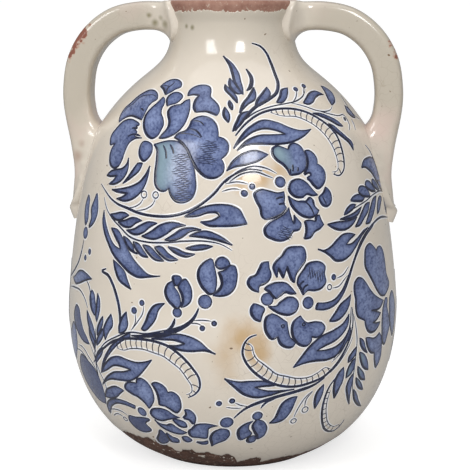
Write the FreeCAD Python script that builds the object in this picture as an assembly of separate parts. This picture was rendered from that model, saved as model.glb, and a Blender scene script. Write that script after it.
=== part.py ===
import FreeCAD, Part
import math
import os

# A round-bottomed vase with two handles: a thrown clay pot, two strap handles luted to its neck
# and shoulder with slip, and a tin glaze over the clay.
# Millimetres, +Z up, origin at the centre of the foot.  The handles stand along X.

# Overall sizes of the glazed vase
height = 230.0
belly_radius = 85.0
belly_height = 76.0
foot_radius = 44.0

# Neck and shoulder
neck_radius = 31.0
neck_below_rim = 11.5
lip_flare = 3.5
shoulder_set_in = 17.5
shoulder_below_rim = 62.0

# Leans of the outline from the vertical, and of the foot from the ground
shoulder_lean = math.radians(34.4)
lip_lean = math.radians(13.0)
foot_rise = math.radians(25.3)

# How full the outline is: the reach of its curves away from where they meet, as shares of
# the rise that they belong to
foot_reach = 0.47
belly_under = 0.40
belly_over = 0.13
shoulder_over = 0.20
shoulder_under = 0.80
throat_reach = 0.52
neck_reach = 0.22
lip_reach = 0.40
curve_steps = (9, 9, 12, 5)

# The clay
wall = 6.0
floor = 9.0
floor_rounding = 8.0
lip_rounding = 1.8
foot_rounding = 1.0
foot_ring_width = 9.0
foot_recess = 2.0

# The glaze, and how far the clay is bare at the foot and the lip
glaze = 0.5
lining = 0.4
bare_foot = 6.0
bare_lip = 5.5
bare_mouth = 4.0

# The handles: a strap, its thickness in the plane of the handle and its width across it
strap_thickness = 13.5
strap_width = 20.0
strap_corner = 5.0
handle_past_belly = 1.0
handle_below_rim = 0.5
arm_length = 15.0
bend_drop = 36.0
bend_steps = 4
tail_length = 38.0
tail_kick = 2.0
tail_sunk = 5.4

# The slip worked round each end of a strap: how far it spreads and how far along it runs
neck_spread = 8.0
neck_run = 13.0
slip_under_face = 1.5
slip_dive = 0.4
slip_sections = 8
slip_back_beside = 4.0
slip_back_below = 1.0
shoulder_spread = 5.0
slip_height = 1.2
slip_below_tail = 4.0
slip_above_shoulder = 5.0
slip_corner = 10.0

# Two heights closer than this are the same
same_height = 0.01


# ---- The outline ----

def bezier(p0, p1, p2, p3):
    curve = Part.BezierCurve()
    curve.setPoles([FreeCAD.Vector(x, 0, z) for x, z in (p0, p1, p2, p3)])
    return curve


def vase_curves():
    """The glazed outline from the foot to the rim, as four curves that run into each other."""
    shoulder_radius = belly_radius - shoulder_set_in
    shoulder_height = height - shoulder_below_rim
    neck_height = height - neck_below_rim
    rim_radius = neck_radius + lip_flare
    rise = shoulder_height - belly_height
    draw_in = neck_height - shoulder_height
    low = foot_reach * belly_height
    lip = lip_reach * neck_below_rim

    def on_shoulder(step):
        return (shoulder_radius + step * math.sin(shoulder_lean),
                shoulder_height - step * math.cos(shoulder_lean))

    foot_to_belly = bezier((foot_radius, 0),
                           (foot_radius + low * math.cos(foot_rise), low * math.sin(foot_rise)),
                           (belly_radius, (1 - belly_under) * belly_height),
                           (belly_radius, belly_height))
    belly_to_shoulder = bezier((belly_radius, belly_height),
                               (belly_radius, belly_height + belly_over * rise),
                               on_shoulder(shoulder_over * rise),
                               on_shoulder(0))
    shoulder_to_neck = bezier(on_shoulder(0),
                              on_shoulder(-shoulder_under * draw_in),
                              (neck_radius, neck_height - throat_reach * draw_in),
                              (neck_radius, neck_height))
    neck_to_rim = bezier((neck_radius, neck_height),
                         (neck_radius, neck_height + neck_reach * neck_below_rim),
                         (rim_radius - lip * math.sin(lip_lean), height - lip * math.cos(lip_lean)),
                         (rim_radius, height))
    return [foot_to_belly, belly_to_shoulder, shoulder_to_neck, neck_to_rim]


def set_in(curve, t, depth):
    """A point of a curve, moved square to it into the clay."""
    along = curve.tangent(t)[0]
    return curve.value(t) + FreeCAD.Vector(-along.z, 0, along.x) * depth


def outline_points(depth):
    """Points of the outline from foot to rim, set in from the glazed surface by a depth."""
    curves = vase_curves()
    points = [set_in(curve, i / steps, depth)
              for curve, steps in zip(curves, curve_steps) for i in range(steps)]
    return points + [set_in(curves[-1], 1.0, depth)]


def at_height(a, b, z):
    return a + (b - a) * ((z - a.z) / (b.z - a.z))


def cut_to_heights(points, low, high):
    """The points between two heights, with a new end point on each of them."""
    inside = [i for i, p in enumerate(points) if low < p.z < high]
    before = max(inside[0] - 1, 0)
    after = min(inside[-1], len(points) - 2)
    kept = [at_height(points[before], points[before + 1], low)]
    kept += [points[i] for i in inside]
    return kept + [at_height(points[after], points[after + 1], high)]


def radius_at(z):
    """The radius of the glazed outline at a height."""
    points = outline_points(0.0)
    above = next(i for i, p in enumerate(points) if p.z > z)
    return at_height(points[above - 1], points[above], z).x


# ---- Turned shapes ----

def smooth_edge(points):
    spline = Part.BSplineCurve()
    spline.interpolate(points)
    return spline.toShape()


def turned(depth, low, high):
    """The solid inside the outline at a depth, between two level planes."""
    points = cut_to_heights(outline_points(depth), low, high)
    foot_centre = FreeCAD.Vector(0, 0, low)
    top_centre = FreeCAD.Vector(0, 0, high)
    outline = Part.Wire([Part.makeLine(foot_centre, points[0]), smooth_edge(points),
                         Part.makeLine(points[-1], top_centre), Part.makeLine(top_centre, foot_centre)])
    outline.rotate(FreeCAD.Vector(), FreeCAD.Vector(0, 0, 1), 90)
    return Part.makeSolid(Part.Face(outline).revolve(FreeCAD.Vector(), FreeCAD.Vector(0, 0, 1), 360))


def level_edges(solid, z):
    """The edges that lie level at a height."""
    return [e for e in solid.Edges
            if e.BoundBox.ZLength < same_height and abs(e.BoundBox.ZMin - z) < same_height]


def round_edge_at(solid, z, radius):
    """Round the widest circular edge that lies level at a height."""
    return solid.makeFillet(radius, [max(level_edges(solid, z), key=lambda e: e.BoundBox.XLength)])


def pot_form():
    """The thrown pot with its outside finished and its inside still full of clay."""
    form = turned(glaze, 0.0, height)
    form = round_edge_at(form, height, lip_rounding)
    return round_edge_at(form, 0.0, foot_rounding)


def pot_inside(depth, low, rounding, high):
    return round_edge_at(turned(depth, low, high), low, rounding)


def clay_pot(form):
    pot = form.cut(pot_inside(glaze + wall, floor, floor_rounding, height))
    mouth = min(level_edges(pot, height), key=lambda e: e.BoundBox.XLength)
    pot = pot.makeFillet(lip_rounding, [mouth])
    recess = Part.makeCone(foot_radius - foot_ring_width, foot_radius - foot_ring_width - 2 * foot_recess,
                           foot_recess)
    return pot.cut(recess)


# ---- Handles ----

def handle_path():
    """The middle of a strap: out from the neck, over a bend, down and into the shoulder."""
    reach = belly_radius + handle_past_belly - glaze - strap_thickness / 2
    top = height - handle_below_rim - glaze - strap_thickness / 2
    bend_start = neck_radius + arm_length
    across = reach - bend_start
    shoulder_height = height - shoulder_below_rim
    points = [(neck_radius - wall, top), (bend_start, top)]
    for step in range(1, bend_steps + 1):
        angle = math.pi / 2 * step / bend_steps
        points.append((bend_start + across * math.sin(angle), top - bend_drop * (1 - math.cos(angle))))
    for share, proud in ((1 / 3, tail_kick), (2 / 3, -tail_sunk / 2), (1, -tail_sunk)):
        z = shoulder_height - share * tail_length
        points.append((radius_at(z) + proud, z))
    return smooth_edge([FreeCAD.Vector(r, 0, z) for r, z in points])


def place_on(path, distance):
    """A point of the path at a distance along it, and the way from there to the handle's hole."""
    t = path.getParameterByLength(distance)
    along = path.tangentAt(t)
    return path.valueAt(t), FreeCAD.Vector(along.z, 0, -along.x)


def strap_section(place, side_spread, hole_spread, coat, under_face=0.0):
    """The strap's rounded rectangle, spread to its sides and towards the hole."""
    centre, inward = place
    half_width = strap_width / 2 + coat + side_spread
    half = strap_thickness / 2 + coat
    reach = {1: half + hole_spread, -1: half - under_face}
    corner = strap_corner + coat
    slant = corner * (1 - math.sqrt(0.5))

    def at(y, depth):
        return centre + FreeCAD.Vector(0, y, 0) + inward * depth

    arcs = []
    for sy, sn in ((1, 1), (-1, 1), (-1, -1), (1, -1)):
        on_side = at(sy * half_width, sn * (reach[sn] - corner))
        on_face = at(sy * (half_width - corner), sn * reach[sn])
        middle = at(sy * (half_width - slant), sn * (reach[sn] - slant))
        first, last = (on_side, on_face) if sy * sn > 0 else (on_face, on_side)
        arcs.append(Part.Arc(first, middle, last).toShape())
    edges = []
    for i, arc in enumerate(arcs):
        edges += [arc, Part.makeLine(arc.Vertexes[-1].Point, arcs[(i + 1) % 4].Vertexes[0].Point)]
    return Part.Wire(edges)


def strap(coat):
    """A strap swept along the handle's path, grown all round by a coat."""
    path = handle_path()
    section = strap_section(place_on(path, 0.0), 0.0, 0.0, coat)
    return Part.makeSolid(Part.Wire([path]).makePipeShell([section], True, False))


def hollow(share):
    """A quarter-round hollow: 1 at its foot, falling to 0 where it runs out."""
    left = 1 - min(max(share, 0.0), 1.0)
    return 1 - math.sqrt(1 - left ** 2)


def neck_slip(coat):
    """Slip smoothed round the arm of a strap, widening in a hollow curve on to the neck."""
    path = handle_path()
    sections = []
    for i in range(slip_sections):
        distance = i / (slip_sections - 1) * (wall + neck_run)
        beside = neck_spread * hollow((distance - wall + slip_back_beside) / neck_run) - slip_dive
        below = neck_spread * hollow((distance - wall + slip_back_below) / neck_run) - slip_dive
        sections.append(strap_section(place_on(path, distance), beside, below, coat, slip_under_face))
    return Part.makeLoft(sections, True)


def shoulder_slip(coat):
    """A low pad of slip on the shoulder, spread all round the foot of a strap."""
    low = height - shoulder_below_rim - tail_length - slip_below_tail - coat
    high = height - shoulder_below_rim + slip_above_shoulder + coat
    half_width = strap_width / 2 + shoulder_spread + coat
    patch = Part.makeBox(belly_radius, 2 * half_width, high - low,
                         FreeCAD.Vector(neck_radius, -half_width, low))
    corners = [e for e in patch.Edges
               if e.BoundBox.YLength < same_height and e.BoundBox.ZLength < same_height]
    patch = patch.makeFillet(slip_corner + coat, corners)
    return turned(-slip_height - coat, low - slip_corner, high + slip_corner).common(patch)


# ---- The pieces ----

def turned_about(shape):
    """A copy on the other side of the vase."""
    copy = shape.copy()
    copy.rotate(FreeCAD.Vector(), FreeCAD.Vector(0, 0, 1), 180)
    return copy


def handle_pieces(form):
    """The clay strap, its two patches of slip and the glaze over all three, and their outline."""
    clay = strap(0.0)
    slip_neck = neck_slip(0.0).cut([form, clay])
    slip_shoulder = shoulder_slip(0.0).cut([form, clay])
    outside = strap(glaze).fuse(neck_slip(glaze)).fuse(shoulder_slip(glaze))
    glaze_coat = outside.cut([form, clay]).cut([slip_neck, slip_shoulder])
    pieces = {
        "clay_handle": clay.cut(form),
        "slip_neck": slip_neck,
        "slip_shoulder": slip_shoulder,
        "glaze_handle": glaze_coat,
    }
    return pieces, outside


def vase_pieces():
    form = pot_form()
    pieces = {"clay_pot": clay_pot(form)}
    one_handle, outside = handle_pieces(form)
    for node, shape in one_handle.items():
        pieces[node + "_right"] = shape
        pieces[node + "_left"] = turned_about(shape)
    jacket = turned(0.0, bare_foot, height - bare_lip)
    pieces["glaze_jacket"] = jacket.cut([form, outside, turned_about(outside)])
    lined_to = height - bare_mouth
    lining_back = pot_inside(glaze + wall, floor, floor_rounding, lined_to)
    lining_face = pot_inside(glaze + wall + lining, floor + lining, floor_rounding - lining, lined_to)
    pieces["glaze_lining"] = lining_back.cut(lining_face)
    return pieces


os.makedirs("parts", exist_ok=True)
for node, shape in vase_pieces().items():
    print(node, shape.isValid(), len(shape.Solids), round(shape.Volume))
    shape.Solids[0].exportStep(os.path.join("parts", node + ".step"))
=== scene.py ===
import math

import bpy
import numpy as np
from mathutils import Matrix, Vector, geometry, noise


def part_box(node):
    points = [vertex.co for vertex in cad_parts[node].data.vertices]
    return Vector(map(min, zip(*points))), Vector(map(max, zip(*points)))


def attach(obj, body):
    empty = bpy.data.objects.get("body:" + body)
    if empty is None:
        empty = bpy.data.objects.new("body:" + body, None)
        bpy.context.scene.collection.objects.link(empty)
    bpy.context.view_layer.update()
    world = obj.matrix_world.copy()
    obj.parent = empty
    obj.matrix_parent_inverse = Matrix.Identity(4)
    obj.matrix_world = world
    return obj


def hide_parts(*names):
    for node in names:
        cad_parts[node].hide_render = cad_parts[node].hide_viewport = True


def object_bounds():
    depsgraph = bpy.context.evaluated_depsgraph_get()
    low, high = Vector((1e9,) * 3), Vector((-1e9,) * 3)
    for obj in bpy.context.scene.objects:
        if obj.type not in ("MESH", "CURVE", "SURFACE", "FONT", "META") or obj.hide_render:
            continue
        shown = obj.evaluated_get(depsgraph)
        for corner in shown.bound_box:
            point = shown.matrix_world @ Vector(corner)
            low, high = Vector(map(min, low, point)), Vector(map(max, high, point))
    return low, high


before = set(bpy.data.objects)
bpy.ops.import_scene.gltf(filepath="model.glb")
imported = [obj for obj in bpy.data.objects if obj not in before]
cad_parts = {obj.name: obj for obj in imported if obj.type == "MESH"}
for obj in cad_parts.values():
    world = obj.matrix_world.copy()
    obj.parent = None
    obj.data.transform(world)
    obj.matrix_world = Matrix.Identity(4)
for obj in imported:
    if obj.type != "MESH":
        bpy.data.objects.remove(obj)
CAD_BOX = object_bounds()

bl_info = {
    "name": "Talavera Vase",
    "version": (1, 0, 0),
    "blender": (4, 5, 0),
    "location": "View3D > Sidebar > Vase",
    "description": "A two-handled vase in tin-glazed earthenware with blue flowers",
    "category": "Add Mesh",
}

# Lengths are millimetres unless a name says otherwise; the scene is in metres.
MM = 0.001
HEIGHT = CAD_BOX[1][2] / MM
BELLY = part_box("glaze_jacket")[1][1] / MM
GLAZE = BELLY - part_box("clay_pot")[1][1] / MM

# The vase stands turned a little, so that each flower is placed from its own middle line.
FACE_TURN = 4.5
SIDES = {"front": 0.0, "back": 180.0}


# ---- The outline of the vase ----

def bezier(points, steps=160):
    """Points on the curve with these two ends and two handles."""
    t = np.linspace(0, 1, steps)[:, None]
    a, b, c, d = (np.array(p, float) for p in points)
    return (1 - t) ** 3 * a + 3 * (1 - t) ** 2 * t * b + 3 * (1 - t) * t**2 * c + t**3 * d


def vase_outline():
    """Radius and height of the glazed outline from the foot to the rim."""
    foot, belly_height, neck = 0.518 * BELLY, 0.330 * HEIGHT, 0.365 * BELLY
    shoulder_set_in, shoulder_below_rim, neck_below_rim, lip_flare = 17.5, 62.0, 11.5, 3.5
    shoulder_lean, lip_lean, foot_rise = (math.radians(a) for a in (34.4, 13.0, 25.3))
    shoulder, shoulder_height = BELLY - shoulder_set_in, HEIGHT - shoulder_below_rim
    neck_height, rim = HEIGHT - neck_below_rim, neck + lip_flare
    rise, draw_in = shoulder_height - belly_height, neck_height - shoulder_height
    # How far each end of a curve pulls it along its own direction
    foot_pull, belly_under, belly_over = 0.47 * belly_height, 0.40 * belly_height, 0.13 * rise
    shoulder_over, shoulder_under, throat = 0.20 * rise, 0.80 * draw_in, 0.52 * draw_in
    neck_pull, lip_pull = 0.22 * neck_below_rim, 0.40 * neck_below_rim

    def on_shoulder(step):
        return (shoulder + step * math.sin(shoulder_lean),
                shoulder_height - step * math.cos(shoulder_lean))

    parts = [
        [(foot, 0), (foot + foot_pull * math.cos(foot_rise), foot_pull * math.sin(foot_rise)),
         (BELLY, belly_height - belly_under), (BELLY, belly_height)],
        [(BELLY, belly_height), (BELLY, belly_height + belly_over),
         on_shoulder(shoulder_over), on_shoulder(0)],
        [on_shoulder(0), on_shoulder(-shoulder_under),
         (neck, neck_height - throat), (neck, neck_height)],
        [(neck, neck_height), (neck, neck_height + neck_pull),
         (rim - lip_pull * math.sin(lip_lean), HEIGHT - lip_pull * math.cos(lip_lean)), (rim, HEIGHT)],
    ]
    points = np.vstack([bezier(p)[:-1] for p in parts] + [[(rim, HEIGHT)]])
    along = np.concatenate([[0], np.cumsum(np.hypot(*np.diff(points, axis=0).T))])
    tangent = np.gradient(points, along, axis=0)
    tangent /= np.linalg.norm(tangent, axis=1)[:, None]
    return points, along, tangent


OUTLINE, ALONG, TANGENT = vase_outline()
RIM_RUN = ALONG[-1]


def on_vase(turn, run, lift):
    """Points in metres at a turn in radians, a run in mm up the outline, and a lift in mm off it."""
    r, z = (np.interp(run, ALONG, OUTLINE[:, i]) for i in (0, 1))
    out, up = np.interp(run, ALONG, TANGENT[:, 1]), -np.interp(run, ALONG, TANGENT[:, 0])
    r, z = r + lift * out, z + lift * up
    return np.column_stack([r * np.sin(turn), -r * np.cos(turn), z]) * MM


def on_spray(spots, place, side, lift):
    """Points in metres for spots drawn in mm about the middle of a spray."""
    turn, run = place
    run = run + spots[:, 1]
    turn = math.radians(turn + FACE_TURN + SIDES[side]) + spots[:, 0] / np.interp(run, ALONG, OUTLINE[:, 0])
    return on_vase(turn, run, lift)


# ---- Meshes ----

def add_piece(name, points, faces, material, **values):
    """A smooth piece of glaze that rides with the vase, with named values at its points."""
    mesh = bpy.data.meshes.new(name)
    mesh.from_pydata([tuple(p) for p in points], [], faces)
    mesh.validate()
    mesh.polygons.foreach_set("use_smooth", [True] * len(mesh.polygons))
    for key, each in values.items():
        attribute = mesh.attributes.new(key, "FLOAT", "POINT")
        attribute.data.foreach_set("value", np.array(each, np.float32))
    mesh.materials.append(material)
    piece = bpy.data.objects.new(name, mesh)
    bpy.context.scene.collection.objects.link(piece)
    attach(piece, "root")
    return piece


class Builder:
    """Gathers patches of points and faces for one mesh."""

    def __init__(self):
        self.points, self.faces, self.values, self.count = [], [], {}, 0

    def add(self, points, faces, **values):
        self.points.append(points)
        self.faces += [[i + self.count for i in face] for face in faces]
        self.count += len(points)
        for key, value in values.items():
            self.values.setdefault(key, []).append(np.broadcast_to(value, len(points)))

    def piece(self, name, material):
        values = {key: np.concatenate(parts) for key, parts in self.values.items()}
        return add_piece(name, np.vstack(self.points), self.faces, material, **values)


def grid_faces(rows, columns, closed=False):
    """Four-sided faces between rows of points; closed rows join end to end."""
    wide = columns if closed else columns - 1
    return [(r * columns + c, r * columns + (c + 1) % columns,
             (r + 1) * columns + (c + 1) % columns, (r + 1) * columns + c)
            for r in range(rows - 1) for c in range(wide)]


# ---- Brush work ----

def read_spots(text):
    """Spots written as x,y in mm; one that ends in ! is a sharp corner."""
    words = text.split()
    spots = np.array([[float(v) for v in word.rstrip("!").split(",")] for word in words])
    return spots, [word.endswith("!") for word in words]


def curve_through(spots, closed, step):
    """An even line of points on a smooth curve through the spots."""
    if closed:
        spots = np.vstack([spots[-2:], spots, spots[:3]])
    gaps = np.maximum(np.hypot(*np.diff(spots, axis=0).T), 1e-6)
    slopes = np.diff(spots, axis=0) / gaps[:, None]
    tangents = np.vstack([slopes[:1], slopes[-1:]]) if len(spots) == 2 else np.vstack([
        slopes[:1],
        (slopes[:-1] * gaps[1:, None] + slopes[1:] * gaps[:-1, None]) / (gaps[:-1] + gaps[1:])[:, None],
        slopes[-1:],
    ])
    if len(spots) > 2 and not closed:
        tangents[0] = 1.5 * slopes[0] - 0.5 * tangents[1]
        tangents[-1] = 1.5 * slopes[-1] - 0.5 * tangents[-2]
    t = np.linspace(0, 1, 13)[:-1, None]
    fine = []
    first, last = (2, len(spots) - 3) if closed else (0, len(spots) - 1)
    for i in range(first, last):
        p, q, u, v = spots[i], spots[i + 1], tangents[i] * gaps[i], tangents[i + 1] * gaps[i]
        fine.append((2 * t**3 - 3 * t**2 + 1) * p + (t**3 - 2 * t**2 + t) * u
                    + (3 * t**2 - 2 * t**3) * q + (t**3 - t**2) * v)
    fine = np.vstack(fine + [spots[last:last + 1]])
    run = np.concatenate([[0], np.cumsum(np.hypot(*np.diff(fine, axis=0).T))])
    even = np.linspace(0, run[-1], max(int(round(run[-1] / step)), 2) + 1)
    return np.column_stack([np.interp(even, run, fine[:, i]) for i in (0, 1)])


def edge_runs(spots, sharp, step=0.6):
    """The smooth runs of a closed edge from corner to corner."""
    corners = [i for i, corner in enumerate(sharp) if corner]
    if not corners:
        return [curve_through(spots, True, step)]
    spots = np.vstack([spots, spots])
    ends = corners + [corners[0] + len(sharp)]
    return [curve_through(spots[a:b + 1], False, step) for a, b in zip(ends, ends[1:])]


def across_path(path):
    """The way square to a path, on its left, at each of its points."""
    along = np.gradient(path, axis=0)
    along /= np.maximum(np.hypot(*along.T), 1e-9)[:, None]
    return np.column_stack([-along[:, 1], along[:, 0]])


def stroke(path, width, taper=(0.25, 0.25)):
    """A brush stroke along a path: its spots in rows of five, and how far each row is from the edge."""
    across = across_path(path)
    share = np.linspace(0, 1, len(path))
    lead, tail = taper
    ease = np.minimum(lead + (1 - lead) * np.minimum(share / 0.25, 1) ** 0.7,
                      tail + (1 - tail) * np.minimum((1 - share) / 0.25, 1) ** 0.7)
    half = 0.5 * width * ease
    rows = [path + across * (half * side)[:, None] for side in (-1, -0.6, 0, 0.6, 1)]
    spots = np.stack(rows, axis=1).reshape(-1, 2)
    body = np.tile([0.0, 0.8, 1.0, 0.8, 0.0], len(path))
    return spots, grid_faces(len(path), 5), body


def inside(spots, edge):
    """Which spots are inside a closed edge."""
    x, y = spots[:, 0][:, None], spots[:, 1][:, None]
    a, b = edge, np.roll(edge, -1, axis=0)
    spans = (a[:, 1] > y) != (b[:, 1] > y)
    rise = np.where(b[:, 1] == a[:, 1], 1e-9, b[:, 1] - a[:, 1])
    return (spans & (x < (b[:, 0] - a[:, 0]) * (y - a[:, 1]) / rise + a[:, 0])).sum(axis=1) % 2 == 1


def gap_to(spots, edge):
    """The distance of each spot from an edge."""
    a, b = edge, np.roll(edge, -1, axis=0)
    way = b - a
    t = ((spots[:, None] - a) * way).sum(2) / np.maximum((way**2).sum(1), 1e-9)
    return np.linalg.norm(spots[:, None] - a - np.clip(t, 0, 1)[..., None] * way, axis=2).min(axis=1)


def filled(edge, spacing=1.1):
    """The spots and triangles that fill a closed edge, and how far each spot is from it."""
    low, high = edge.min(axis=0), edge.max(axis=0)
    rows = np.arange(low[1], high[1], spacing * 0.87)
    hexes = np.array([(x + (i % 2) * spacing / 2, y) for i, y in enumerate(rows)
                      for x in np.arange(low[0], high[0], spacing)] or [low])
    rings = hexes[inside(hexes, edge)]
    rings = rings[gap_to(rings, edge) > 0.45] if len(rings) else rings
    spots = np.vstack([edge, rings]) if len(rings) else edge
    loop = [(i, (i + 1) % len(edge)) for i in range(len(edge))]
    done = geometry.delaunay_2d_cdt([Vector(p) for p in spots], loop, [list(range(len(edge)))], 1, 1e-5)
    spots = np.array([tuple(p) for p in done[0]])
    return spots, [tuple(face) for face in done[2]], gap_to(spots, edge)


def rows_of(text):
    """The rows of a spray, with those that carry on joined to the row before."""
    return text.strip().replace("\n ", "").splitlines()


# ---- The flowers, each drawn in mm about its middle ----
# petal, teal, dark: a washed shape with an outline.  line: a stroke, its width first.
# mark: a stroke that swells.  ladder: outer and inner edge with rungs.  ring, dot, ball: x,y and size.
# hatch: middle, size and slant of a patch of short strokes.  A row that starts with a space carries on.

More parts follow.
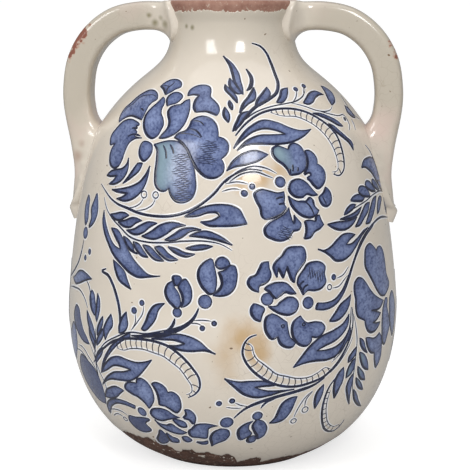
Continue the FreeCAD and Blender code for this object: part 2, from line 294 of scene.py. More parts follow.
SPRAYS = {
    "great_blossom": ((-22, 188), """
petal -18.3,18 -19.5,21 -22.5,23 -26,23.3 -31,21 -35,17.5 -38,14 -41.5,10.5 -42.5,5 -41,2.5! -37,5.5
  -32,7 -28,6.5 -23.5,5.3! -22.7,10 -22.3,13 -20.5,16
line 0.8 -18.6,18.5 -21,20 -26,20 -30,19 -33,17 -35,14 -38,12 -41,8
mark -24.3,10 -25.5,11.2 -27.2,11.5
petal -24,2.5 -28,4.5 -32,5 -37,3.5 -41,-0.5 -44,-6 -42.5,-9.5 -40.5,-9 -38.5,-8.5! -40.5,-11
  -41.3,-15 -39.8,-18.7 -36.7,-20.2 -33,-19 -31,-16 -29.5,-11 -27.5,-7 -24.5,-5 -20,-4.3! -25,-3
  -24,-1.5 -26,-0.2 -24.5,0.8 -26,1.6
mark -21,-3.5 -26,-2.8 -29.7,-4.2
mark -24.5,0.3 -26.5,0.5 -28.5,0.3
petal -15,19.5! -17,16 -20,12 -21.7,8.5 -21.5,4 -19.5,0 -16.5,-3 -13.5,-4 -11.5,-3 -10,0.5 -9.5,3.5
  -10.8,7 -12.8,10 -13.2,12.5 -12.8,15.5 -13.8,18.5
petal 0.2,18.8! -1.5,18 -3.5,15.5 -6,14.8 -8.3,13.5 -9,11 -8,8.5 -6.5,5 -6.5,2 -8.5,-1.5 -10,-3.8!
  -6,-3.3 -2,-1 1,3 2,8 1.8,13 0.8,17
line 1.3 -9,12 -8.7,9.5 -6.8,5.5 -6.6,3
petal -12.2,18.5 -11,21.5 -8.5,22.8 -5.5,22 -4,20 -4.7,18 -6,16.3 -9,15 -10.5,14! -11.5,16
petal -20,26! -17.5,29.5 -13.5,31.5 -10,31 -7.5,28.5 -7.3,26.5 -9.5,25 -12,22.5 -14,20.8! -15.5,23
  -17.5,25
line 0.7 -19.5,26.2 -16,26.8 -14,26.2
line 1.1 -12,29.8 -13,27.5 -14.5,25.5 -14,22
petal -18.5,-6 -20,-9.5 -19,-13.5 -16.5,-15.3 -14,-13.5 -12.5,-10.5 -13,-7.5 -15.5,-6
teal -12,-7! -9.9,-9.2 -9.1,-13.9 -9.1,-21.5 -8.2,-26.2 -6.1,-28.3 -3.2,-28.6 -1.4,-27.1! 0,-30.4
  2.7,-33 6.8,-33.3 10.4,-31.2 11.8,-27.4 11.2,-21.5 9.2,-15 6.8,-10.9 3.9,-7.4 0.4,-5.1 -3.8,-4.8
  -9.5,-6.2
mark -7,-7 -5,-10 -4.2,-13.5
mark -3.5,-6.5 -1.5,-9 -0.8,-11
hatch 4.6,-21.5 10.5,21 8
petal -1.8,-3! 2,-5 5.5,-8.5 9,-14 13,-19 17,-21.5 21,-21.5 24,-19 24,-15.5 22.5,-12.8! 25,-9.5
  24.5,-5.5 22,-3 19.3,-2! 18.5,1 16.5,5 13,8 9,9 5.5,7.5 4.5,6.3! 4.5,3.5 3.5,1.2 0,-0.8
line 0.9 5,6.2 8.5,6 11.3,3.8
mark 4,2 8,1 11.5,-2.5
line 0.7 -1.5,-1.5 3,-0.7 8,-1.5 11.5,-3
hatch 15.8,-9.5 11,11 -6
petal -1.4,20.8! -1.4,24.4 0.9,27.3 4.5,28.2 7.7,27 9.2,23.8 9.8,20.8 12.7,17.9 15.4,14.9 16.5,11.4
  15.9,9.4! 13.3,10.8 10.4,11.7 6.8,11.4 5.4,11.1! 3.6,14.4 3.3,18.5 4.2,21.4! 1.2,21.7
petal -26.4,-14.5! -27,-17.4 -29.6,-19.8 -34.4,-20.9 -38.5,-22.1 -41.7,-24.5! -37,-24.3 -33.2,-23.6!
  -35.5,-26.2 -39.1,-28.3! -33.2,-27.4 -29.1,-25.1 -26.4,-21.5 -25.8,-17.4
petal -19.9,-16.5! -17,-16.5! -18.5,-19.8 -22.6,-23.3 -28.5,-27.1! -24.9,-23.3 -22.3,-19.8
petal -12.6,-17.4! -14.4,-21.5 -17.3,-25.1 -21.4,-27.4 -26.1,-28.9 -36.1,-30.6! -31.4,-31.2
  -24.4,-31.2! -28.5,-33.6 -32,-34.5! -26.1,-35 -19.6,-32.7 -15.5,-28.6 -13.2,-22.7
line 1.4 -46,-29 -42,-31.5 -36.1,-35 -30.2,-37.1 -23.8,-38.3 -17.3,-39.8 -6.7,-40.6 0.4,-40.1 8,-38
  15.1,-33.9 20.4,-29.2 25.6,-22.7 30.9,-19.2 36.2,-17.7 42,-18.6
ring -14.5,-31 1.6
line 0.6 -14.7,-32.8 -16,-35 -19,-37 -23,-38
ring -8,-30.8 1.5
line 0.6 -8,-32.5 -9,-35 -12,-37.3 -18,-38.8
petal 25.5,-18.5! 28,-14 32,-10.5 36.5,-9 44,-11! 39,-14 34,-15.5 29,-16.5
"""),
    "scroll_and_plume": ((22, 188), """
line 1.8 -2.8,53.5 2.2,51.5 4.7,48 5.6,43.5 5.4,36 4.5,28.5 1.8,23 -4,18.5 -11,14.5 -18,8 -24,1
petal -11.4,14.1! -9.1,18.5 -5.5,22.6 -2,26.7! -1.4,23.2 -3.8,19.1 -7.3,16.1
petal -19.6,10.8! -16.7,16.1 -12.6,20.8 -8.5,26.7! -8.8,22.6 -10.2,19.1 -14.4,16.1
petal -12.6,24.4! -9.9,27.9 -7.9,33.2 -8.2,39.6! -7,36.1 -7.6,30.8 -11,25.3
petal -15,22! -16.5,30 -15.8,36 -15.5,42 -17.5,47.3! -14.5,44 -12.8,38 -13.5,31 -14,26
petal -15.5,22.6! -17.3,22.6 -19.4,26.1 -17.9,33.2! -17,29.7 -15.8,25.5
petal -19.1,16.7! -20.8,21.4 -22.3,24.9 -21.4,28.8! -19.9,24.9 -18.5,21.4
petal -22.6,12.6! -23.2,15.5 -22.3,18.5! -21.7,16.1
petal -26.1,5.5! -27.3,9.1 -25.5,14.4! -24.6,10.2
petal -25.2,0.8! -22,6.1 -18.5,10.8 -14.4,12! -17.3,8.5 -21.4,3.8
line 0.8 -25.5,0.5 -19,6.5 -11,11.8 -2,14.8 5,16 10,17 15,19.5 18.5,23 19.5,25.3
line 0.7 7.4,16.1 14.5,13.8 21.5,10.8 27.4,9.9 32.1,10.8 34.5,12.6
ladder -24.5,-1.5 -17,6 -9,11 0,13 8,12.5 15,10 21,6 26,1.5 29.5,-4 31,-10 31.5,-16 30.5,-20.5
  27,-23 23,-22 | -5,11 0,9 8,8 13,5.5 18,1.5 22,-3.5 25,-9 26.5,-14 26.8,-18 26,-20.5 22.5,-21
line 0.7 21.5,10.8 30.9,7.9 36.2,6.7 42,7.3
petal -0.2,16.7! 2.7,20.2 5.6,24.9 8.9,25.8! 7.4,22 5.1,18.5 2.7,16.7
dot 13.3,24.6 1.2
line 0.6 13.2,23.5 11.5,19.6 8.6,16.7
dot 19.5,26.4 1.1
line 0.6 19.5,25 19,25 16.8,20.8 12.7,17.9 8,16.1
petal 14.5,15.8! 17.4,18.5 20.9,21.4 25.1,22.6 31.5,19.9! 27.4,19.9 23.9,18.5 20.9,16.1 17.4,14.9
petal 34.5,13! 34,18 34.5,22 34,25.5! 38,24 42,20 40,15.5 37,14
petal 18,9.6! 22.7,9.1 28.6,6.7 33.9,3.8 36.8,0.8! 33.9,1.4 29.8,3.8 24.5,6.7
petal 26.2,3.2! 29.2,-0.9 33.3,-4.5 38,-8 40.6,-12.1! 40.9,-8.6 36.8,-5.1 32.7,-1.5 29.8,1.4
petal -26.5,-8! -22,-2 -16,3.5 -9,6.8 -3,5.3 3,2 8,0.4 14,0.8! 8,-3 2,-5.2 -6,-6 -14,-5.6 -20,-6.2
  -25,-9! -19,-3.8 -13,-1.4 -7,-1.3 -0.5,-1.2! -5,1.2 -10,2.2 -16,0.5 -21,-3
line 0.7 39,7.2 42.4,6 43.4,3.6 43.4,0.8 40.9,-2
line 0.6 48.5,3.6 48.8,0.8 47.8,-2.4
line 0.7 54.2,16.8 52.7,11.6 55.6,6 61.7,2.4
petal 49.3,11.6! 52,10 54.5,6.4 55.8,4! 50.8,5.2 47.8,8
dot 41.1,4.4 0.8
"""),
    "long_plume": ((-30, 138), """
line 0.9 -31,15 -28,10 -24,6.5 -17,2.5 -10,-1.5 0,-3 10,-2.5 20,-1.2 30,-1 36,-2 42,-5
petal -24.5,7.8! -21,8.3 -17,9.3 -14,9.3 -11.5,8.5! -14.5,7 -17,5.8 -21,5.8
petal -18.5,4.7! -14,5.8 -9,7.6 -3.5,6.8! -7,5.3 -10,3.2 -14,3
petal -12.5,1.5! -8,2.3 -4,4.5 0,6.3 5,6.2! 1,4 -2,1.5 -6,0
petal -3,-0.5! 2,2 7,5.5 12,7 19.5,6! 14,4.5 10,1.5 5,-1
petal 9.5,-1.3! 14,1.5 18,4.3 22,5 27,4.3! 22,3.5 18,0.5 14,-1
petal 21.5,1.2! 25,3 29,3.7 35,2 42,-2.5! 36,-0.5 30,0.7
petal -14,-1.5! -12,-2.2 -8,-5 -6,-8.5 -4.5,-9! -8,-8 -11.5,-5.5
petal -7.7,-3.5! -4,-4.5 -1.5,-7 1.5,-10! -2,-9.5 -5,-7.5
petal -2,-4.5! 2,-5 6,-8 10,-11! 5,-10.5 1.5,-8
petal 4.5,-5! 8,-4.5 12,-7.5 17,-10! 12,-10.3 8,-8
petal 11.5,-4.2! 16,-5 20,-6.5 25,-7! 21,-8.3 16,-7
petal 20.2,-4.5! 24,-3.3 28,-2.7 33,-3.2! 29,-4.5 24,-5
petal 18.5,10! 24,13.5 30,15.5 36,16 41,15.2 44,13.5 46,10.5 48,7.2! 43,6.5 36,6.2 30,6.4 26.3,8!
  32.5,9 35,10.8! 34,12 30,12.4 25,10.8
petal -30,9! -30.3,4 -28,-1.5 -24.5,-6 -20,-11 -14,-15 -8,-18.5 -3,-19.8 2,-19.2 8.5,-18.2! 2,-18
  -2,-15.5 -7,-11.5 -11,-7 -14.5,-2.5 -18,0.8 -23,1.3! -19,-3 -16.3,-6 -15.5,-8! -20,-6.5 -24,-2.5
  -27,2
petal -19.8,-13.5! -15,-16 -11.5,-18.5 -10,-21.5 -7.2,-26! -11,-24.5 -15,-22.5 -18,-18
line 1.8 -24.5,-18.5 -28,-20 -23,-21.5 -19.5,-25 -16.5,-30 -14.5,-35 -13.5,-40 -14,-47
"""),
    "twin_blossoms": ((28, 142), """
teal -9,25! -9.8,27.5 -11.5,30 -14.5,32.5 -16,35 -15.5,37.8 -13,39 -10,38 -8,37.2! -7,39 -4.5,40
  -1.5,38.5 0,35.5 0.5,32 -0.5,28 -3.5,25.5!
mark -7.3,26.5 -7.2,28 -7,29.8
mark -5,26.5 -4.6,27.5 -4.5,28.5
mark -8.6,25.5 -8.7,26.5 -8.8,28
petal 0.3,36! 2.5,36.2 5,34.5 6.5,31.5 6.3,29.5! 8.5,28 10,25.5 9.8,22 7.5,19 5,18 3,19.5 1,22
  -0.2,23 2,24.3! 1.5,25.5 -1.5,25 0.3,28 1.2,32
petal -10.3,18.5 -9.5,21 -7,22.7 -4,22.8 -1,21 2,17.5 4.5,15! 1,15 -1,15.8 -4,14.5 -8,15.2
petal -11,15.5! -9,13.8 -6,12.5 -2,12.5 0,14 1.5,13 2.5,9.5 4.5,7.8! 3,6 0,4.8 -4,5.5 -7.5,8 -10,11.5
line 1.1 -7,12.5 -2.5,12 -0.5,10 1.5,5.5
line 0.8 1,13.5 2,10 4.5,7.5
petal 5,14! 8,15.8 9.5,18.3! 11.5,16.5 12.5,13.5 11.5,10.5 9,9.3 7,10 5.5,12
line 0.9 9.5,18 8,16 6.5,14.5
line 0.9 7,14 8,12 9,10
petal -13,17.5! -16,17 -20,18 -24,18.8 -27,17 -26.5,14 -25,10.5 -24.3,6 -23,5! -19,5.8 -15,7.5
  -12.5,10! -13.5,12 -13,14.5
mark -13.5,15 -15.5,14.8 -17.2,14.3
mark -13,12 -14.6,12 -16.2,11.7
petal -11.3,10! -13.5,7.5 -17,5.5 -21,3.5 -23.8,0.5 -23.5,-2 -20.5,-4 -16,-5 -12.5,-3.8 -10,-1
  -7,-0.3 -5.8,2 -7.5,4.5 -9,6.5! -9,4 -9.5,2.5 -10.8,6.5
hatch -14,-1.5 8,5 -20
petal -4,3.3! -1,3.5 2,3 2.5,5 4.5,5.5! 5,3.5 6.5,1! 4.5,-0.5 1,-2 -1.5,-4.5 -5,-4.8! -3.5,-2 -3.3,1
ball -14.3,22 2.4
line 0.8 -40,22 -33,27.5 -26,29.7 -20,28.5 -15.5,26
line 0.8 -38,22.5 -31,26.5 -25,27 -20,25 -17.5,24
dot -27.8,20.3 1.2
line 0.6 -40,21.5 -34,22.5 -29.5,21.5
dot -31.8,17.2 1.4
line 0.6 -42,18 -36,19.3 -33,18.8
petal -11,-24.8! -10,-21 -7.5,-18 -5,-15 -4.5,-12 -5.5,-9 -9,-8.3 -14,-9 -16.5,-12 -19,-14 -21,-17
  -20.3,-20 -19.5,-22! -18.8,-17.5! -17.5,-20 -16.5,-22.5! -15.5,-20 -14.3,-17! -13.5,-20.5 -12,-24
petal -23,-14.5! -26,-15 -27.5,-17.5 -29.5,-20.5 -32,-21.5 -33.3,-24 -31.5,-27 -28.5,-28.3!
  -28,-25.5 -26,-24.7 -23.5,-23 -22.3,-20.5 -23,-17.5
petal -9.8,-25.5! -9,-22.5 -6,-19 -4,-16.8 0,-16 3,-16.5 5.5,-18.5 5,-22 5.5,-26 3,-28.5 -1,-29.3
  -4.5,-29 -7,-31! -8,-28
mark -7.5,-30 -6.5,-27.5 -4.3,-26.3
mark -9,-28 -8,-25.5 -6.3,-24.5
hatch 0,-22 7,8 75
petal -26,-27! -23,-25 -19,-24.3 -15,-25 -12.5,-27.5 -10.5,-30! -13,-29.8 -16,-29 -18.5,-30.5
  -20.5,-31.8! -22.5,-30 -23.5,-28.5
petal -24.5,-35! -20.5,-35 -18,-33 -15,-31.5 -11.5,-32 -9.7,-34.5 -10.8,-37.8 -14,-39.5 -18,-39 -22,-37
ball -24.8,-31.8 2.8
petal -31,-33.5! -28.5,-34.5 -26.3,-36 -27.5,-39 -28.3,-42! -30.5,-41 -32.5,-38 -32.3,-35.5
ball -4.7,-34.8 2.7
petal -0.8,-38.3! 0.5,-35.3! 5,-35.8 10,-35 15,-31.5 18.5,-27 21.5,-22.5 25,-17 30,-10.5 36,-6
  44,-3! 42,-4.5! 35,-8 29,-13 24,-19.5 20,-26.5 16,-32.5 11,-37 5,-38.8
ring 7.5,-28.7 1.2
line 0.6 9,-29.3 13,-29 16.5,-26.5 19,-24.5
dot 10.3,-24.3 1.2
line 0.6 12,-25 16,-24 20,-20.5
petal 2,-10.3! 6,-11.2 10,-9.8 14,-7 18,-5 22,-4.9 26.5,-6! 22,-8 19.5,-10! 23,-10 28,-8 34,-5
  38,-4! 32,-7 26,-12 21,-15.5 16,-17 12,-16.5 9,-14 6,-12
petal 8.5,0.8! 14,-2 20,-2.7 25,-1 29,2! 22,1 15,1.2
line 1.0 47.3,35.2 52.4,31.6 56.7,26.4 59.7,21.2 63.8,14.8 70,9.6 75,5
petal 37.9,24.8! 40.8,27.6 47.6,28.8 54.9,27.6 58.1,24.4 60.8,20.4 64.8,14.8 71.5,9.2! 59.5,12.8
  53.4,17.6 49.2,21.2 44.9,23.6 41.5,24.8
petal 25,10.4! 27.9,12 33,12.4 37.5,10.8! 35.9,9.6 30.1,9.6
petal 32.1,14! 33,15.6 37,16 41.6,13.2 43.3,10.4! 38.8,10.8 34.3,12
petal 39,16! 40.1,17.6 44.1,17.6 48.2,14.4 50.8,12! 45.3,12.8 41.5,14.4
petal 47.1,17.6! 49,18 52.6,16.4 55.6,13.6 57.7,11.2! 52,13.2 48.4,15.2
petal 56.2,16.4! 59.9,16 63.4,13.2 64.1,10.8! 58.8,12.8
line 0.7 19.9,4 29,6.8 38.7,8.8 45.3,10.4 53.3,11.2 61,10.6 68,8.5
petal 66,8! 69,4.5 69,0.8 67,-1.5! 65,3
petal 57.7,8.8! 59.5,7.6 56.5,4.8 52.1,1.6 49.4,0.8! 50.7,4.4 53.4,7.6
petal 50.8,9.6! 45.8,8.4 42.4,5.2 39.3,1.6 35.8,-2! 39.6,-2 44.2,1.2 48.2,5.6
petal 41.9,7.6! 37.8,7.2 33.6,4 30.4,0.8 26.8,-2.4! 30.6,-2 34.9,0.8 39.5,4
petal 19.6,4! 22.2,6.8 26.1,8.4 28.9,8! 26.6,6.4 23.6,5.2
petal 33.4,6.4! 29.8,5.2 26.1,4 21.7,3.2 16.5,2.4! 21.4,2 26.5,2.4 30.6,3.6
"""),
    "two_buds": ((-6, 110), """
petal -19.5,8! -22,6.5 -23.3,3 -22.5,0 -20,-2.8 -17,-4.5 -16,-3.5 -15.8,-0.5 -17,3 -18.7,5!
petal -17,5.3! -15.5,8 -13.5,9.2 -11.5,7 -10.3,3 -11,-1 -13,-3 -15.5,-4! -14.5,-1 -15,2
petal -19.3,8 -19.5,10 -17.5,10.6 -15.5,9.8 -16,7.5 -17.7,5.8! -19,7
ball -17.3,-6.5 2.1
line 1.6 -18.5,-9.3 -19,-11.5 -21,-14.5 -24,-16.5
petal -1.5,19.2! -4.5,17.5 -7,14 -7.3,10.5 -6,7 -4,4.5 -1.5,2.8 0,3.3 1,6 1.2,10 0.3,15 -0.5,18.5!
petal 2,13! 5,14 7,16 9.5,15.8 10.6,13 10.5,9 9.5,5.5 7,3 3,2 -0.5,2.3! 2,4.5 3.8,7.5 3.2,10.5
petal 0.8,16.5 2,19.3 4.5,19.8 6.8,18 7.3,16 5,15 2.5,14.7 1.3,15.5
line 1.4 2.3,13.3 3.3,11.5 3.8,8.5 3.2,5.5 1,3
ball -4,-0.8 3.1
line 2.0 -7,-4 -9.5,-9 -15,-13.5 -20,-16 -28,-18 -36,-19.5 -42,-20
line 0.6 -9.5,-9.8 -4,-9.5 -1,-9.8
dot 0.3,-10.8 1.0
line 0.6 -11.5,-11.3 -7,-11.3 -5.5,-12
dot -5.2,-13.2 1.0
"""),
    "right_blossom": ((48, 112), """
petal 8.6,17.9 5.6,16.1 4.5,12.6 4.2,7.3 6.2,4.4 9.8,-0.4 13.3,-5.1 17.4,-8.6 22.1,-9.5! 29.5,-4.5
  26.2,0.8 25.6,6.7 23.9,12.6 21.5,14.9 16.8,14.6 15.9,13.8! 12.7,16.7 10.4,18
petal -2,3.2 -4.9,1.4 -5.8,-2.7 -5.2,-6.8 -5.5,-10.9 -4.4,-15.1 -0.8,-17.1 0.9,-18! 2.1,-21.5
  5.1,-24.5 8.6,-25.1 12.7,-23.9 15.4,-21.5! 10,-21 8,-20.5! 13,-19 16,-17! 11,-15.4 6.8,-14.2!
  12,-14.8 16,-14.2 19.8,-11.5! 15.6,-9.8 10.9,-7.4 6.8,-3.9 3.3,0.2 0.4,2.6
petal 2.1,-26.8! 4.5,-32.1 7.4,-35.1 11.2,-36.5! 12.7,-41 16,-45 19,-42 19.2,-35 17.4,-29.2
  15.1,-26.8! 9.8,-28.6 5.1,-27.4
petal 23.3,-10.9 19.8,-13.9 18,-18.6 18,-25.6 20.4,-33.3 22.7,-34.5 25.6,-30.9 28.6,-25.6 26.2,-19.8
  24.5,-15.6 25.1,-11.5
petal 29,-12 28,-20 31,-28 37,-33 40,-25 39,-15 34,-9.5
line 1.2 -3.8,12 0.9,17.3 8,23.8 15.6,27 22.7,28.5 34.5,27.6 42,26.1
line 1.0 -9,-10 -10,-18 -13,-25 -20,-34
"""),
    "lower_left_sprays": ((-32, 76), """
ladder -33,-5 -28,0 -22,5 -15,9.5 -7,12 2,13 10,12.8 17,11 23,7 28,1.5 31,-4 30.5,-9 28,-12 24.5,-14
  | -13,6.5 -9,6 -4,7.5 3,8.2 9,7.2 14,6 18,3.5 22,0.5 25,-4 27,-8.5 26.5,-11 23.8,-12.5
line 0.8 -30,-2 -22,7 -14,11.5 -4,15.5 5,16 13,18 20,20 26,23 30,28 31,30.5
petal 8,14! 14,15.5 20,17.3 26,16.8 32,14.5 36,11 39.5,8.7! 35,10.2 28,9.7 22,10 17,11.7! 22,12
  25,13! 21,14.3 14,14.3
petal -27,-9! -22,-3 -17,0.8 -12,2.2 -6,1.4 -1,1 4,2 7.8,3.5! 4,-1 -1,-6 -6,-9 -13,-10 -20,-11
  -28,-16! -22,-10 -16,-6.5 -10,-5.2 -4.8,-3.3! -10,-2.5 -16,-3 -22,-6.5
petal 2.5,18! 5,22 6.5,26 9,29.5 14.5,31.3! 11.5,28 10,23.5 7.5,20 4,17.5
petal -6.5,25! -9,22 -11,17 -11,14! -7,16 -5.5,19 -6,22
petal -28,-23! -26,-19 -22,-16.3 -17,-14.5 -11.5,-15.5! -15,-18 -18,-20.5 -23,-22.5
petal -16.5,22.5! -20,18 -22,14 -21,9! -18,14 -15.5,17
petal -4.1,15.2! -9.3,12.4 -14.4,8.8 -19.5,3.6 -24.1,-2.8 -27.1,-9.2! -21.6,-0.8 -15.5,5.6 -9.6,10.4
  -4.1,13.2!
dot 2.3,30.3 1.2
line 0.6 3.3,29 3,25.5 0.5,21.5 -2.5,17.5
dot -2,26.2 1.4
line 0.6 -1.2,24.5 -1,21 -3.5,16.5
petal -30,-30 -26,-25 -20,-22.3 -13,-21.8 -6,-23! -7,-25! -13,-24 -19,-24.5 -25,-28 -30,-34
ball -2.8,-26 2.4
line 0.7 -28,-31 -22,-29.3 -17,-29.5 -14,-30.8
line 0.7 -27,-35 -21,-32 -18,-32.8
ring -17,-34.2 1.3
petal 2.2,-23! 0.5,-20 -2.5,-17.5 -7,-16 -10.3,-13.8 -9,-11.2 -6,-10 -2.5,-9.8! -2,-8 0.5,-6.8
  3.5,-8 5.5,-10.5 6.5,-14 6,-18 4.5,-20.5!
petal 8.5,-19.8! 9,-16 8.3,-12 6.3,-8.8! 8.5,-7.8 11.5,-8.3 14,-10.5 14.5,-12.3! 17,-11.8 19.5,-13.5
  20.3,-17 19.3,-21 17,-23.2 14,-21.5 11.5,-20!
petal 2.5,-26.5 4,-23.3 8,-22 12,-22.5 15.5,-25 18,-26! 14.5,-27 11.5,-28 8,-29.3 4.5,-28.8
petal 3.5,-29.5! 6,-31.5 9.5,-32 12.5,-30.8 15,-33 19,-35.5! 16,-37 11,-36.5 6.5,-34
petal 14,-27.8 17,-27.5 20,-29 20,-31.5 17.5,-32 15,-30
petal 21.5,-21! 24,-21 26,-24 25.5,-27 24,-29.3 22.5,-27 20,-26 21.5,-24
dark -13,-31 -8,-30.5 -3,-29.8 0.5,-30 -3,-33.5 -1,-37 -5,-40 -10,-40 -13,-37 -14,-34
"""),
    "lower_right_sprays": ((22, 72), """
ladder -21.5,21.8 -25,20.5 -27.5,17 -28,13 -26.5,9 -23.5,5 -19,1 -14,-2 -8,-4.2 -1,-5 6,-4 13,-2
  20,3 25,9 28.5,15 30.5,23 30,30 | -25.5,18 -23.5,16 -23,13.5 -21.5,10.5 -18,7.5 -15,5 -12,2.5
  -7,0.8 0,-1 6,-0.8 10,0.8 14,2.7 17,1.5
petal -36,0.8! -31,-3.5 -26,-7.5 -20,-9.3 -14,-8.5 -8,-7 -2,-6.4! -9,-6.5 -16,-6 -21.5,-4! -17,-3.5
  -12,-3.5! -17,-1.2 -23,-0.8 -29,-1
petal -3.5,4.8! 0,9 5,14.5 11,18.5 18,20.5 24,23 28,27! 27,22 24,18.5 19,15.5 13,13.7 8.5,11.8!
  14,11.5 20,12.5 25,15.5 28.5,21! 29,18 25,12 20,8 15,6.7 8,7 2,6.5
petal 15.5,25.2! 19,28.5 23,32.5 27,34.5 29.5,36! 28,31 25,27.5 21,25.3
petal -12,-24.7! -9.5,-21.5 -8.5,-17.5 -7,-13.5 -3,-10.8 0,-10.5! -1,-14 -2.5,-19 -5,-23 -8,-24.5
petal 10.8,-19! 10,-15 10.5,-10 14,-6! 14,-10 13,-14 11.8,-17
petal 22,-15! 20.5,-10 20.8,-5 23,-1 25.5,1! 26,-4 24.5,-9 23,-13
line 1.8 -29.5,-20.8 -25,-15.5 -17,-11.5 -10,-9.5 0,-7.5 8,-5.5 14,-2.5
dot -37.5,-12.5 1.2
line 0.6 -34,-14.5 -30,-15 -27,-15
dot -31.5,-11 1.1
line 0.6 -30,-12 -27,-13.5 -24,-14
line 1.2 -17.5,-15.5 -16,-13 -11,-10.5
ball -18.5,-19.8 2.3
petal -20,-22.8! -23.5,-24.5 -26,-28 -25.5,-32 -23.3,-35.3 -21.5,-34 -19.3,-31 -21.3,-28 -21.5,-25
petal -18.5,-22! -15.5,-23 -13,-26.5 -12.5,-30 -13.5,-33.5 -15.5,-35 -16.5,-32.5 -18.5,-29 -19.8,-26
petal -19.5,-33 -20.5,-35.5 -19,-37.5 -17,-37 -16.5,-35 -18,-32.5
ball -32.5,-23.5 3.0
petal -34.5,-27.5! -37.5,-30 -38.3,-34 -37,-38 -36.3,-40.8! -34,-38 -31,-35.5 -29.8,-32 -31,-28.5
ring 5.3,-18.7 1.6
line 0.6 4.8,-17 5,-13 8,-9
ring 0.3,-24.8 1.4
line 0.6 0,-22.5 1.5,-17 5,-11 8,-8.5
ladder 22,-3 18,-7 16,-12 15.3,-18 16,-24 18,-30 21,-35 25,-38 29,-39 32,-37 34,-32 | 18.5,-10
  17.5,-15 17.7,-20 19,-25 21,-29.5 24,-33 28,-35 30.5,-34.5
line 0.7 31,26.4 32.6,20 33.7,13.2 33.5,6.8 33.1,-1.2 33.2,-8.8 35.4,-17.6
teal 36.1,6.8! 40.1,4.8 43.1,1.2 45.2,-4.4! 41,-2.4 37.7,2
teal 35.7,-0.4! 38.1,-2.4 41.8,-6 43.5,-9.6! 39.1,-7.6 36.6,-4
teal 35.3,-6.4! 37.9,-8.4 41.7,-12.4 43.4,-15.2! 38.5,-12.4 36.4,-9.6
petal 34.9,-12.8! 38.3,-16.4 41.6,-21.2 47,-26.8! 41.5,-23.6 36.9,-18.8
petal 35.9,14! 39.2,11.6 40.6,8.4 42.7,5.2! 39.1,7.6 36.6,10.8
petal 33.6,10! 31,8 28.7,5.6 28.2,2.8! 31.2,4.4 33.5,6.8
teal 33.4,4.4! 30.4,2.4 28.4,-0.8 27.8,-5.2! 31.2,-3.2 33.3,1.2
petal 33,-3.6! 30.6,-6 29.2,-9.6 30.8,-15.6 34,-21.6! 32.8,-16 32.7,-11.2 33,-7.2
petal 25.2,0.8! 22.2,-2 20.6,-5.6 20.4,-9.2 21.7,-15.2! 22.7,-11.2 25.1,-8 26.1,-2.8
line 0.6 29.3,20.4 27.4,16 24.8,11.2 21.4,7.6 17.3,4.8
line 0.6 30.4,15.2 27.7,10.8 24.3,6.4 20.9,2.8 17.1,-0.4
petal -14,31.5! -16.5,30 -17.5,26 -16.5,22 -14,19.5 -11.5,20.5! -10,17 -7.5,15.3 -4,15.3 -2.7,17!
  -5.5,20 -6.5,24 -6.8,27! -9,28.5 -11,30
dot -9,25.3 0.7
petal 0,29.5! -3.5,27 -4.5,23 -3.5,19 -0.5,15.8 3,15 5.5,17 5.7,19! 9,18.5 12,20.5 13,22.5 11.5,24.8
  8,25.8 3,26
dot 1.5,25.3 0.7
"""),
    "low_cluster": ((-8, 42), """
dark -26,-2 -27.5,-6 -29,-11 -27.5,-13.5 -24,-12 -22,-8 -24,-4
petal -10.5,0 -10,-4 -6,-4.5 -2.5,-4.5 -1.5,-1 -1,2 3.5,4.3! -3,5.2 -7,4 -9,1.5
petal -14.5,-5 -12,-4.5 -10,-7 -12.5,-8.8 -14,-7.5
petal -7.5,-8 -5,-9.5 -2.5,-9 -2,-6.5! -5,-7.8
petal -22.5,-3.5 -20,-6 -17,-7.5 -17,-9.8 -20.5,-10.5
"""),
